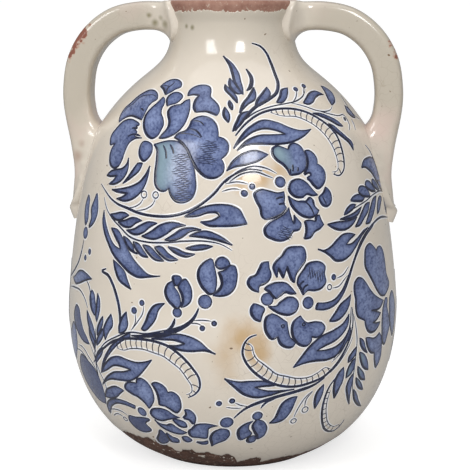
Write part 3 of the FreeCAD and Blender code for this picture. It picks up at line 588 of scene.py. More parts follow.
    "left_edge_sprays": ((-62, 112), """
petal -5,40 -7.5,35 -6.5,29 -3.5,25.5 -1.5,28 -2,33 -2.5,38!
petal 4.5,42 7.5,37 8,32 5.5,27.5 1,25 2.5,30 1,34 3,39
ball -2.5,21.5 2.8
line 1.6 -3.5,18 -5,12 -7.5,7 -13,2 -20,-2 -28,-5
dot 5,13.3 1.3
dot 0.8,9.7 1.2
petal 10,0.7! 5,2 -1,2.8 -7,1.5 -11,-1 -16,-3! -10,-5 -5,-4 0,-2.3 4,-0.8
line 0.9 4,-0.5 8,-3.5 10.5,-8 12.5,-14
line 0.9 7.8,-14 4.1,-10 -1.8,-7.2 -10.3,-7.2 -21.3,-8.8
petal 11,-4.4! 13.6,-6.4 14.7,-9.6 15.9,-13.6 14.8,-16.4! 12.2,-14.4 10.3,-11.2 9.6,-7.6
petal 16.4,-5.2! 18.2,-7.6 19,-11.6 18.4,-15.2 16.9,-19.2! 15.8,-16.4 16.1,-12
petal 7.4,-15.2! 10,-17.6 13,-21.2 14.8,-25.2 14.8,-30! 12.6,-27.6 10,-24 8.2,-20
petal 9.3,-23.2! 11.8,-26.8 14,-30.4 14,-34.8! 12.5,-31.6 10,-27.6
petal 21.8,-15.6! 21.9,-18.8 19.7,-22.8 16.7,-26! 17.4,-22.4 19.6,-18.4
petal 21.9,-21.6! 21.9,-24.8 19.2,-28.4 15.9,-31.2! 16.7,-28 19.3,-24.4
petal 21.4,-31.2! 19.5,-34.8 15.7,-38.4 13.1,-40.8! 14.3,-37.2 17.3,-33.6
dark -5.9,-15.2 -1.9,-16.4 0,-20.8 3,-26 7,-29.6 8.9,-32! 2.6,-32 -3.3,-29.6 -7.8,-26.4 -10,-21.6
dark -2.9,-40 5.1,-42 10.1,-44.4 12.9,-49.2 13.7,-54.4 12.7,-59.6 10.1,-64! 2.7,-63.6 -2.4,-60.4
  -7,-56 -9.9,-51.2
petal -11,-25 -7.8,-28.4 -7.7,-34.4 -12,-41 -20,-46 -25,-42 -26,-36 -17.4,-29.2
line 0.7 -5.9,-35.6 1.5,-36 6.2,-39.2 10.2,-42.8 12.6,-46.8
line 0.7 -10.2,-38.8 -2.6,-38.4 3.3,-40.8 6.9,-43.2
line 0.9 15.6,-22.8 15.2,-29.2 13.2,-35.6 12.8,-40.8 12.6,-46.8 13.5,-52
line 0.6 9.6,-32 11.7,-36 13.1,-40 15.1,-45.6 17.1,-50.4 16.3,-56.8
"""),
}

# A plume under each handle, between the front and the back
SPRAYS["side_plume"] = ((97, 62), "\n".join(rows_of(SPRAYS["scroll_and_plume"][1])[:10]))

# The ragged edge of the glaze above the foot, and crumbs of glaze left on the bare clay below it,
# both about the middle of the low cluster
FOOT_PLACE = SPRAYS["low_cluster"][0]
FOOT_EDGE = """-40,-12 -35,-10.5 -28,-14 -22,-16.5 -20,-20 -14,-17.5 -11,-16.8 -9,-19.5 -3,-16.3 3,-20.5
7,-18.5 9.5,-22 10,-29 14,-26 19.5,-23.5 22.5,-25.5 21,-31 28,-28 34,-27 42,-27.5"""
CRUMBS = """-32,-13.5 -33,-17 -28,-22 -24,-21.5 -19,-22 -7,-23 4,-23 8,-23 4,-27 8,-27.5 -12.5,-27"""

# How far the edge of each layer stands off the bare glaze, and how far a stroke swells above its edge
HALO_LIFT, WASH_LIFT, LINE_LIFT, STROKE_SWELL = -0.1, 0.075, 0.03, 0.14


# ---- Colours and sizes a user may change ----

def colour(hex_code):
    """An sRGB hex colour as linear red, green, blue and alpha."""
    parts = [int(hex_code[i:i + 2], 16) / 255 for i in (1, 3, 5)]
    return tuple(c / 12.92 if c <= 0.04045 else ((c + 0.055) / 1.055) ** 2.4 for c in parts) + (1.0,)


def colour_property(name, description, hex_code):
    return bpy.props.FloatVectorProperty(name=name, description=description, size=4, min=0, max=1,
                                         subtype="COLOR", default=colour(hex_code))


def size_property(name, description, default, low, high):
    """A length, given here in mm and held in metres."""
    return bpy.props.FloatProperty(name=name, description=description, default=default * MM, min=low * MM,
                                   max=high * MM, precision=5, subtype="DISTANCE", unit="LENGTH")


class VaseSizes(bpy.types.PropertyGroup):
    glaze_inset: size_property("Glaze inset", "How far the bare glaze lies under the painted height",
                               0.4 * GLAZE, 0.0, GLAZE)
    outline_width: size_property("Outline width", "Width of the dark outlines", 1.1, 0.2, 2.5)
    halo_width: size_property("Pale band", "How far the pale band spreads past the outlines on both sides",
                              2.4, 0.5, 5.0)
    lip_rag: size_property("Lip raggedness", "How far the glaze edge wanders at the lip", 1.3, 0.0, 3.0)
    foot_rag: size_property("Foot raggedness", "How far the glaze edge wanders at the foot", 1.6, 0.0, 4.0)
    crackle: size_property("Crackle size", "Distance between the fine cracks in the glaze", 5.0, 1.0, 20.0)


class VaseColours(bpy.types.PropertyGroup):
    tin_white: colour_property("Tin white", "The warm white of the glaze", "#E0D6C8")
    # The handles' greyer white is partly painted shade on the handles.
    strap_white: colour_property("Handle white", "The greyer white of the handles", "#BFB6A7")
    # The halo colour is partly paler glaze and partly a painted highlight along the raised edges of the
    # drawing.
    halo: colour_property("Halo", "The paler glaze along the outlines", "#F5F3F2")
    wash: colour_property("Wash", "The blue wash of petals and leaves", "#5B6A94")
    deep_wash: colour_property("Deep wash", "The wash where it pooled", "#2F3A62")
    teal: colour_property("Pale wash", "The thin, greener wash of a few petals", "#8FA9B2")
    line: colour_property("Line", "The dark blue of the drawn lines", "#111730")
    clay: colour_property("Clay", "The fired red clay", "#8C6355")
    dust: colour_property("Dust", "Lime and worn glaze on the bare clay", "#C9B6A6")
    stain: colour_property("Stain", "Brown that soaked in through the cracks", "#BF9A64")
    backdrop: colour_property("Backdrop", "The paper behind the vase", "#C6C6C6")


def size_of(name):
    """A size that the user may change, in mm."""
    return getattr(bpy.context.scene.vase_sizes, name) / MM


def colours():
    """The colours that the user may change."""
    return bpy.context.scene.vase_colours


# ---- Materials ----

def apart(distance):
    """The scale of a pattern whose marks are this many mm apart."""
    return 1 / (distance * MM)


def new_material(name):
    """A material with its nodes, and its main shader."""
    material = bpy.data.materials.new(name)
    material.use_nodes = True
    return material, material.node_tree.nodes["Principled BSDF"]


def add(tree, kind, inputs=(), **settings):
    """Adds a node with its settings; an input takes a value, or the output that is linked to it."""
    node = tree.nodes.new("ShaderNode" + kind)
    for key, value in settings.items():
        setattr(node, key, value)
    for key, value in dict(inputs).items():
        if isinstance(value, bpy.types.NodeSocket):
            tree.links.new(value, node.inputs[key])
        else:
            node.inputs[key].default_value = value
    return node


def stained(tree, where, base, spots):
    """The base colour with soft stains: each has a middle in mm, a size, a strength and a colour."""
    wander = add(tree, "TexNoise", {"Vector": where, "Scale": apart(16.7), "Detail": 5.0})
    for middle, size, strength, tint in spots:
        away = add(tree, "VectorMath", {0: where, 1: [v * MM for v in middle]},
                   operation="DISTANCE")
        ragged = add(tree, "Math", {0: wander.outputs["Fac"], 1: 1.5 * size * MM, 2: away.outputs["Value"]},
                     operation="MULTIPLY_ADD")
        mask = add(tree, "MapRange", {"Value": ragged.outputs[0], "From Min": 0.75 * size * MM,
                                      "From Max": 1.85 * size * MM, "To Min": strength, "To Max": 0.0},
                   interpolation_type="SMOOTHSTEP")
        base = add(tree, "Mix", {0: mask.outputs[0], 6: base, 7: tint}, data_type="RGBA").outputs[2]
    return base


def tin_stains():
    """Stains on the white glaze: each has a middle in mm, a size, a strength and a colour."""
    # Clay shows pink where the glaze ran thin by the handles, and the left one is scuffed.
    pink, scuff = colour("#D9BDB5"), colour("#A58878")
    spots = []
    for side in (-1, 1):
        spots += [((side * 74, 0, 166), 17, 0.75, pink), ((side * 80, 0, 146), 14, 0.6, pink),
                  ((side * 50, 0, 229), 16, 0.4, pink)]
    spots += [((-78, -10, 152), 5, 0.65, scuff), ((-76, -11, 158), 3.5, 0.5, scuff)]
    # Kiln smoke settled on the left arm and the neck.
    smoke = colour("#77704C")
    for x, y, z, size in ((-41, -10.4, 222.5, 2.0), (-38, -10.4, 219.0, 2.6), (-34.5, -10.4, 221.5, 2.2),
                          (-32, -11.0, 218.5, 3.0), (-29, -13, 221.5, 2.0), (-21, -23, 217.5, 1.8),
                          (-18, -25.5, 217.0, 1.8)):
        spots.append(((x, y, z), size, 0.85, smoke))
    # Brown soaked in under the crazing, at these turns and runs up the outline.
    for turn, run, size, strength in ((3, 92, 13, 0.8), (-2, 84, 11, 0.5), (8, 84, 9, 0.75),
                                      (-1, 74, 9, 0.35), (3, 165, 8, 0.65), (10, 167, 9, 0.85),
                                      (17, 170, 9, 0.75)):
        middle = on_vase(np.array([math.radians(turn + FACE_TURN)]), np.array([run]), 0.0)[0] / MM
        spots.append((middle, size, strength, tuple(colours().stain)))
    return spots


def crazed(tree, where, white):
    """The white with fine cracks that took up brown in patches, and with pits."""
    cells = add(tree, "TexNoise", {"Vector": where, "Scale": apart(11.1), "Detail": 2.0})
    bent = add(tree, "Mix", {0: 0.012, 4: where, 5: cells.outputs["Color"]}, data_type="VECTOR")
    craze = add(tree, "TexVoronoi", {"Vector": bent.outputs[1], "Scale": apart(size_of("crackle"))},
                feature="DISTANCE_TO_EDGE")
    crack = add(tree, "MapRange", {"Value": craze.outputs["Distance"], "From Min": 0.004,
                                   "From Max": 0.03, "To Min": 0.28, "To Max": 0.0})
    patchy = add(tree, "TexNoise", {"Vector": where, "Scale": apart(71.4), "Detail": 2.0})
    here = add(tree, "MapRange", {"Value": patchy.outputs["Fac"], "From Min": 0.48, "From Max": 0.68})
    faint = add(tree, "Math", {0: crack.outputs[0], 1: here.outputs[0]}, operation="MULTIPLY")
    cracked = add(tree, "Mix", {0: faint.outputs[0], 6: white, 7: colour("#8E7A66")}, data_type="RGBA")
    pits = add(tree, "TexNoise", {"Vector": where, "Scale": apart(2.38), "Detail": 1.0})
    pit = add(tree, "MapRange", {"Value": pits.outputs["Fac"], "From Min": 0.77, "From Max": 0.80})
    pitted = add(tree, "Mix", {0: pit.outputs[0], 6: cracked.outputs[2], 7: colour("#7A6450")},
                 data_type="RGBA")
    return pitted.outputs[2]


def rubbed_through(tree, where, glaze, shader):
    """The glaze chipped off to dull clay where its points are worn, with a pale ring round each chip."""
    chips = add(tree, "TexNoise", {"Vector": where, "Scale": apart(4.76), "Detail": 4.0, "Roughness": 0.6})
    wear = add(tree, "Attribute", attribute_name="worn").outputs["Fac"]
    level = add(tree, "Math", {0: chips.outputs["Fac"], 1: wear}, operation="ADD").outputs[0]
    bare = add(tree, "MapRange", {"Value": level, "From Min": 1.16, "From Max": 1.2})
    lost = add(tree, "MapRange", {"Value": level, "From Min": 1.1, "From Max": 1.16})
    ringed = add(tree, "Mix", {0: lost.outputs[0], 6: glaze, 7: colour("#B79C8A")}, data_type="RGBA")
    chipped = add(tree, "Mix", {0: bare.outputs[0], 6: ringed.outputs[2], 7: colour("#85503F")},
                  data_type="RGBA")
    dull = add(tree, "MapRange", {"Value": level, "From Min": 1.14, "From Max": 1.18,
                                  "To Min": 0.18, "To Max": 0.8})
    tree.links.new(dull.outputs[0], shader.inputs["Roughness"])
    return chipped.outputs[2]


def tin_glaze(name="tin_glaze_fired_white", worn=False):
    # Tin glaze over red clay: an opaque warm white, thick and glassy, with fine crazing that has
    # taken up brown in places.  The eye gets a soft white body under a wet shine.  The crazing and
    # the pits are drawn coarser than the real ones, so that they show.
    material, shader = new_material(name)
    tree, c = material.node_tree, colours()
    where = add(tree, "TexCoord").outputs["Object"]
    cloud = add(tree, "TexNoise", {"Vector": where, "Scale": apart(45.5), "Detail": 4.0, "Roughness": 0.6})
    tone = add(tree, "MapRange", {"Value": cloud.outputs["Fac"], "From Min": 0.3, "From Max": 0.7})
    warm = add(tree, "Mix", {0: tone.outputs[0], 6: colour("#D8CEC0"), 7: tuple(c.tin_white)},
               data_type="RGBA").outputs[2]
    if worn:
        grey = add(tree, "Attribute", attribute_name="grey").outputs["Fac"]
    else:
        # The neck greys towards the lip, from and to these heights in metres.
        height = add(tree, "SeparateXYZ", {0: where}).outputs["Z"]
        grey = add(tree, "MapRange", {"Value": height, "From Min": 0.195, "From Max": 0.222,
                                      "To Min": 0.0, "To Max": 0.75}).outputs[0]
    warm = add(tree, "Mix", {0: grey, 6: warm, 7: tuple(c.strap_white)}, data_type="RGBA").outputs[2]
    glaze = crazed(tree, where, stained(tree, where, warm, tin_stains()))
    if worn:
        glaze = rubbed_through(tree, where, glaze, shader)
    else:
        shader.inputs["Roughness"].default_value = 0.16
    tree.links.new(glaze, shader.inputs["Base Color"])
    shader.inputs["IOR"].default_value = 1.52
    shader.inputs["Coat Weight"].default_value = 0.35
    shader.inputs["Coat Roughness"].default_value = 0.05
    ripple = add(tree, "TexNoise", {"Vector": where, "Scale": apart(26.3), "Detail": 2.0})
    bump = add(tree, "Bump", {"Height": ripple.outputs["Fac"], "Strength": 0.12, "Distance": 0.0012})
    tree.links.new(bump.outputs[0], shader.inputs["Normal"])
    return material


def strap_glaze():
    # The same tin glaze on the handles, greyer the farther it stands off the body: partly thinner glaze
    # that the clay greys, partly painted shade on the handles, which face away from the lights. It is
    # rubbed through to the clay on the outside of the bend.
    return tin_glaze("tin_glaze_worn_on_handles", worn=True)


def cobalt_wash():
    # Cobalt wash in the tin glaze, laid with a full brush: thin and milky in the middle, dark where
    # it pooled at the edge, with the drag of the hairs.  The eye gets depth under a wet shine.
    material, shader = new_material("cobalt_wash_brushed_under_glaze")
    tree, c = material.node_tree, colours()
    where = add(tree, "TexCoord").outputs["Object"]
    pool = add(tree, "Attribute", attribute_name="pool").outputs["Fac"]
    thin = add(tree, "Attribute", attribute_name="thin").outputs["Fac"]
    cloud = add(tree, "TexNoise", {"Vector": where, "Scale": apart(7.7), "Detail": 5.0, "Roughness": 0.65})
    drag = add(tree, "Mapping", {"Vector": where, "Rotation": (0.3, 0.5, 0.4),
                                 "Scale": (apart(1.11), apart(4.17), apart(1.11))})
    hairs = add(tree, "TexNoise", {"Vector": drag.outputs[0], "Scale": 1.0, "Detail": 3.0})
    mottle = add(tree, "MapRange", {"Value": cloud.outputs["Fac"], "From Min": 0.36, "From Max": 0.66,
                                    "To Min": 0.0, "To Max": 0.6})
    streak = add(tree, "MapRange", {"Value": hairs.outputs["Fac"], "From Min": 0.42, "From Max": 0.72,
                                    "To Min": 0.0, "To Max": 0.6})
    both = add(tree, "Math", {0: mottle.outputs[0], 1: streak.outputs[0]}, operation="ADD")
    washed = add(tree, "Mix", {0: both.outputs[0], 6: colour("#8E9DC6"), 7: colour("#2D3A68")},
                 data_type="RGBA")
    based = add(tree, "Mix", {0: 0.2, 6: washed.outputs[2], 7: tuple(c.wash)}, data_type="RGBA")
    paled = add(tree, "Mix", {0: thin, 6: based.outputs[2], 7: tuple(c.teal)}, data_type="RGBA")
    pooled = add(tree, "Mix", {0: pool, 6: paled.outputs[2], 7: tuple(c.deep_wash)}, data_type="RGBA")
    tree.links.new(pooled.outputs[2], shader.inputs["Base Color"])
    shader.inputs["Roughness"].default_value = 0.18
    shader.inputs["IOR"].default_value = 1.52
    bump = add(tree, "Bump", {"Height": cloud.outputs["Fac"], "Strength": 0.25, "Distance": 0.0004})
    tree.links.new(bump.outputs[0], shader.inputs["Normal"])
    return material


def cobalt_line():
    # Cobalt and manganese lines, trailed with a fine brush and fired into the glaze: nearly black
    # blue, a little broken where the brush ran dry.
    material, shader = new_material("cobalt_line_trailed")
    tree, c = material.node_tree, colours()
    where = add(tree, "TexCoord").outputs["Object"]
    dry = add(tree, "TexNoise", {"Vector": where, "Scale": apart(3.33), "Detail": 3.0})
    share = add(tree, "MapRange", {"Value": dry.outputs["Fac"], "From Min": 0.45, "From Max": 0.75})
    mixed = add(tree, "Mix", {0: share.outputs[0], 6: tuple(c.line), 7: colour("#262F52")},
                data_type="RGBA")
    tree.links.new(mixed.outputs[2], shader.inputs["Base Color"])
    shader.inputs["Roughness"].default_value = 0.2
    shader.inputs["IOR"].default_value = 1.52
    return material


def pale_halo():
    # Thick white glaze raised along the drawing, where the wash was wiped back: cooler and paler than the
    # ground, and smooth. Its near-white colour is partly that paler glaze and partly a painted highlight on
    # the raised edges.
    material, shader = new_material("tin_glaze_wiped_back_painted_highlight")
    tree, c = material.node_tree, colours()
    where = add(tree, "TexCoord").outputs["Object"]
    cloud = add(tree, "TexNoise", {"Vector": where, "Scale": apart(6.25), "Detail": 3.0})
    share = add(tree, "MapRange", {"Value": cloud.outputs["Fac"], "From Min": 0.4, "From Max": 0.7})
    mixed = add(tree, "Mix", {0: share.outputs[0], 6: tuple(c.halo), 7: colour("#DFE3EC")},
                data_type="RGBA")
    tree.links.new(mixed.outputs[2], shader.inputs["Base Color"])
    shader.inputs["Roughness"].default_value = 0.15
    shader.inputs["IOR"].default_value = 1.52
    return material


def red_clay():
    # Low-fired red clay, thrown and sponged: dull and open, with lime dust and scraps of glaze
    # caught in it.  The eye gets a dry, speckled brown against the shining glaze.
    material, shader = new_material("red_clay_fired_bare")
    tree, c = material.node_tree, colours()
    where = add(tree, "TexCoord").outputs["Object"]
    cloud = add(tree, "TexNoise", {"Vector": where, "Scale": apart(8.33), "Detail": 6.0, "Roughness": 0.7})
    tone = add(tree, "MapRange", {"Value": cloud.outputs["Fac"], "From Min": 0.35, "From Max": 0.65})
    dark = add(tree, "Mix", {0: tone.outputs[0], 6: colour("#3B2720"), 7: colour("#6B4A3B")},
               data_type="RGBA")
    rubbed = add(tree, "Mix", {0: tone.outputs[0], 6: tuple(c.clay), 7: colour("#A98373")},
                 data_type="RGBA")
    # The clay is painted darker towards the foot, as shade low on the vase under the belly, and lighter
    # towards the lip.
    height = add(tree, "SeparateXYZ", {0: where}).outputs["Z"]
    upper = add(tree, "MapRange", {"Value": height, "From Min": 0.05, "From Max": 0.20})
    earth = add(tree, "Mix", {0: upper.outputs[0], 6: dark.outputs[2], 7: rubbed.outputs[2]},
                data_type="RGBA")
    specks = add(tree, "TexNoise", {"Vector": where, "Scale": apart(1.92), "Detail": 3.0, "Roughness": 0.7})
    speck = add(tree, "MapRange", {"Value": specks.outputs["Fac"], "From Min": 0.6, "From Max": 0.68,
                                   "To Min": 0.0, "To Max": 0.75})
    dusty = add(tree, "Mix", {0: speck.outputs[0], 6: earth.outputs[2], 7: tuple(c.dust)},
                data_type="RGBA")
    tree.links.new(dusty.outputs[2], shader.inputs["Base Color"])
    shader.inputs["Roughness"].default_value = 0.85
    shader.inputs["IOR"].default_value = 1.5
    bump = add(tree, "Bump", {"Height": specks.outputs["Fac"], "Strength": 0.5, "Distance": 0.0006})
    tree.links.new(bump.outputs[0], shader.inputs["Normal"])
    return material


def backdrop_paper():
    # Matt paper sweep, rolled: an even pale ground that only takes the vase's soft shadow.  It glows
    # a little where it is seen, so that it stays white without lighting the vase from below.
    material, shader = new_material("matt_paper_sweep")
    tree, c = material.node_tree, colours()
    where = add(tree, "TexCoord").outputs["Object"]
    grain = add(tree, "TexNoise", {"Vector": where, "Scale": apart(16.7), "Detail": 3.0})
    mixed = add(tree, "Mix", {0: grain.outputs["Fac"], 6: tuple(c.backdrop), 7: colour("#C3C3C2")},
                data_type="RGBA")
    tree.links.new(mixed.outputs[2], shader.inputs["Base Color"])
    shader.inputs["Roughness"].default_value = 0.9
    shader.inputs["Emission Color"].default_value = colour("#FFFFFF")
    seen = add(tree, "LightPath").outputs["Is Camera Ray"]
    glow = add(tree, "MapRange", {"Value": seen, "To Min": 0.0, "To Max": 0.68})
    tree.links.new(glow.outputs[0], shader.inputs["Emission Strength"])
    return material


def the_material(make):
    """The material that a function makes, made once."""
    made = bpy.context.scene.get("vase_made", {})
    name = made.get(make.__name__)
    if name is None:
        name = make().name
        bpy.context.scene["vase_made"] = {**dict(made), make.__name__: name}
    return bpy.data.materials[name]


def coat_node(name, make):
    """Gives a CAD node a material in every slot."""
    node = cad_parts[name]
    if not node.material_slots:
        node.data.materials.append(the_material(make))
    for slot in node.material_slots:
        slot.material = the_material(make)


# ---- The pieces ----

def rag(turn, size, seed):
    """How far a ragged edge wanders at each turn, in mm."""
    return np.array([size * (noise.noise(Vector((6 * math.sin(t), 6 * math.cos(t), seed)))
                             + 0.8 * noise.noise(Vector((22 * math.sin(t), 22 * math.cos(t), seed + 5)))
                             + 0.5 * noise.noise(Vector((60 * math.sin(t), 60 * math.cos(t), seed + 9))))
                     for t in turn])


def foot_run(turn):
    """The run up the outline at which the glaze starts, at each turn."""
    edge = read_spots(FOOT_EDGE)[0]
    run = FOOT_PLACE[1] + edge[:, 1]
    at = np.radians(FOOT_PLACE[0] + FACE_TURN) + edge[:, 0] / np.interp(run, ALONG, OUTLINE[:, 0])
    at, run = np.concatenate([at, at + math.pi]), np.concatenate([run, run])
    order = np.argsort(at)
    return np.interp(turn, at[order], run[order], period=2 * math.pi)


class VASE_OT_clay(bpy.types.Operator):
    """Bare red clay of the pot and of the two handles"""
    bl_idname = "vase.clay"
    bl_label = "Clay"

    def execute(self, context):
        for name in ("clay_pot", "clay_handle_left", "clay_handle_right"):
            coat_node(name, red_clay)
        return {"FINISHED"}


class VASE_OT_lining(bpy.types.Operator):
    """Glaze inside the pot"""
    bl_idname = "vase.lining"
    bl_label = "Lining"

    def execute(self, context):
        coat_node("glaze_lining", tin_glaze)
        return {"FINISHED"}


class VASE_OT_body_glaze(bpy.types.Operator):
    """White glaze over the body, ragged at the lip and the foot"""
    bl_idname = "vase.body_glaze"
    bl_label = "Body glaze"

    def execute(self, context):
        columns, rows = 960, 280
        turn = np.arange(columns) * 2 * math.pi / columns
        below_rim = 5.6
        low = foot_run(turn) + rag(turn, size_of("foot_rag"), 3.0)
        high = RIM_RUN - below_rim + rag(turn, size_of("lip_rag"), 17.0)
        lift = -size_of("glaze_inset")
        share = np.linspace(0, 1, rows)
        # The glaze starts and ends a little inside the clay, and its last turns thin to a soft edge.
        in_clay, on_clay, edge_drop = -GLAZE - 0.15, -GLAZE + 0.05, 0.12
        rings = [on_vase(turn, low, in_clay), on_vase(turn, low, on_clay)]
        rings += [on_vase(turn, low + (high - low) * s, lift - edge_drop * (1 - min(edge, 1.0)))
                  for s, edge in ((s, min(s, 1 - s) * rows / 2) for s in share)]
        rings += [on_vase(turn, high, on_clay), on_vase(turn, high, in_clay)]
        piece = add_piece("glaze_body", np.vstack(rings), grid_faces(len(rings), columns, True),
                          the_material(tin_glaze))
        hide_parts("glaze_jacket")
        return {"FINISHED"}


# Handle: half the strap's thickness and width with its glaze, where its middle line runs below the rim
# and inside the belly, how far it drops in the bend, and where the arm and the bend start
STRAP_HALF_THICK, STRAP_HALF_WIDE = 7.15, 10.4
ARM_BELOW_RIM, TAIL_INSIDE_BELLY, BEND_DROP = 7.75, 6.25, 36.0
ARM_START, BEND_START = 25.0, 46.0
# Down the tail: how far below the rim, and how far the middle line is off the body there
TAIL = ((74.7, 2.0), (87.3, -2.7), (100.0, -5.4), (107.0, -9.0))
# The arm ends about this far along the middle line, and flares more widely than the tail does
ARM_LENGTH, ARM_FLARE, TAIL_FLARE = 60.0, 9.0, 7.0
# Bare patches: on which side, how far along the middle line, for how far each way, and how much
BARE_PATCHES = {"left": (-1, 53.0, 19.0, 0.86), "right": (1, 57.0, 12.0, 0.66)}


def strap_path():
    """The middle line of a handle as radius and height, from inside the neck to inside the shoulder."""
    top, reach = HEIGHT - ARM_BELOW_RIM, BELLY - TAIL_INSIDE_BELLY
    spots = [(ARM_START, top), (0.5 * (ARM_START + BEND_START), top), (BEND_START, top)]
    spots += [(BEND_START + (reach - BEND_START) * math.sin(a), top - BEND_DROP * (1 - math.cos(a)))
              for a in np.radians([22.5, 45, 67.5, 90])]
    for below_rim, proud in TAIL:
        height = HEIGHT - below_rim
        above = np.argmax(OUTLINE[:, 1] > height)
        spots.append((OUTLINE[above, 0] + proud, height))
    return curve_through(np.array(spots), False, 0.75)


def off_body(points):
    """How far points are off the body's glaze, in mm: less than nothing inside it."""
    flat = np.column_stack([np.hypot(points[:, 0], points[:, 1]), points[:, 2]])
    away = flat[:, None] - OUTLINE[None, ::4]
    nearest = np.argmin((away**2).sum(2), axis=1)
    gap = away[np.arange(len(flat)), nearest]
    out = np.column_stack([TANGENT[::4, 1], -TANGENT[::4, 0]])[nearest]
    return (gap * out).sum(1)


def strap_ring(half_thick, half_wide, count=72):
    """A rounded rectangle as steps towards the outside of the handle and across it, and its normals."""
    t = np.linspace(0, 2 * math.pi, count, endpoint=False)
    power = 0.42  # 1 would be an ellipse, and 0 a sharp rectangle
    out = np.sign(np.cos(t)) * np.abs(np.cos(t)) ** power
    across = np.sign(np.sin(t)) * np.abs(np.sin(t)) ** power
    normal = np.column_stack([np.cos(t) / half_thick, np.sin(t) / half_wide]) * half_thick
    normal /= np.hypot(*normal.T)[:, None]
    return np.column_stack([out * half_thick, across * half_wide]), normal


class VASE_OT_strap_glaze(bpy.types.Operator):
    """White glaze over the two handles, flared on to the neck and the shoulder and worn at the bend"""
    bl_idname = "vase.strap_glaze"
    bl_label = "Handle glaze"

    def execute(self, context):
        path = strap_path()
        outward = across_path(path)
        run = np.concatenate([[0], np.cumsum(np.hypot(*np.diff(path, axis=0).T))])
        ring, ring_normal = strap_ring(STRAP_HALF_THICK, STRAP_HALF_WIDE)
        rows, columns = len(path), len(ring)
        # The tail narrows over its last stretch to a rounded tongue.
        tongue_length, tongue_sunk = 26, 6
        to_tip = np.clip((run[-1] - tongue_sunk - run) / tongue_length, 0, 1)
        tongue = 0.45 + 0.55 * np.sqrt(1 - (1 - to_tip) ** 2)
        seat = path[:, None] + outward[:, None] * ring[None, :, :1]
        points = np.dstack([seat[..., 0], tongue[:, None] * ring[None, :, 1], seat[..., 1]])
        push = outward[:, None] * ring_normal[None, :, :1]
        sideways = np.broadcast_to(ring_normal[:, 1], (rows, columns))
        normals = np.dstack([push[..., 0], sideways, push[..., 1]])
        gap = off_body(points.reshape(-1, 3)).reshape(rows, columns)
        on_arm = (run < ARM_LENGTH)[:, None]
        spread = np.where(on_arm, ARM_FLARE, TAIL_FLARE)
        left = np.clip(1 - gap / spread, 0, 1)
        facing = np.clip(ring_normal[:, 0], 0, 1) ** 2 * on_arm
        flare = 0.85 * spread * (1 - np.sqrt(1 - np.minimum(left, 0.995) ** 2)) * (1 - facing)
        points = points + normals * flare[..., None]
        points[..., 2] = np.minimum(points[..., 2], HEIGHT - 0.2)
        # The handles grey with their distance off the body, partly as painted shade on the parts that stand
        # out from it.
        grey = np.clip((gap + 2) / 16, 0, 1)
        for name, (side, worn_at, worn_for, wear) in BARE_PATCHES.items():
            # The outside of the bend wears most, and on the side that faces the front.
            toward = 0.85 * ring_normal[None, :, 0] - 0.5 * side * ring_normal[None, :, 1]
            face = np.clip(1.5 * toward - 0.55, 0, 1)
            worn = wear * np.clip(1 - ((run[:, None] - worn_at) / worn_for) ** 2, 0, 1) * face ** 0.5
            where = points.reshape(-1, 3) * np.array([side, side, 1]) * MM
            piece = add_piece(f"glaze_strap_{name}", where, grid_faces(rows, columns, True),
                              the_material(strap_glaze), worn=worn.ravel(), grey=grey.ravel())
            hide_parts(f"glaze_handle_{name}", f"slip_neck_{name}", f"slip_shoulder_{name}")
        return {"FINISHED"}


def drawing(text):
    """The strokes and shapes of one spray: a kind and what it is drawn from."""
    for row in rows_of(text):
        kind, _, rest = row.partition(" ")
        yield kind, rest


def circle(x, y, radius, count=16):
    """Spots round a circle."""
    t = np.linspace(0, 2 * math.pi, count, endpoint=False)
    return np.column_stack([x + radius * np.cos(t), y + radius * np.sin(t)])


def hatching(text):
    """Short wavy strokes side by side over a patch."""
    gap, width, wave_height = 0.95, 0.55, 0.22
    middle, patch, slant = text.split()
    (x, y), (wide, high) = read_spots(middle)[0][0], read_spots(patch)[0][0]
    slant = math.radians(float(slant))
    strokes = []
    for i, up in enumerate(np.arange(-high / 2, high / 2, gap)):
        reach = wide / 2 * (0.75 + 0.25 * math.sin(7.3 * i))
        t = np.linspace(-reach, reach, 9)
        wave = up + wave_height * np.sin(1.4 * t + 2.1 * i)
        path = np.column_stack([x + t * math.cos(slant) - wave * math.sin(slant),
                                y + t * math.sin(slant) + wave * math.cos(slant)])
        strokes.append((path, width, (0.2, 0.2), False))
    return strokes


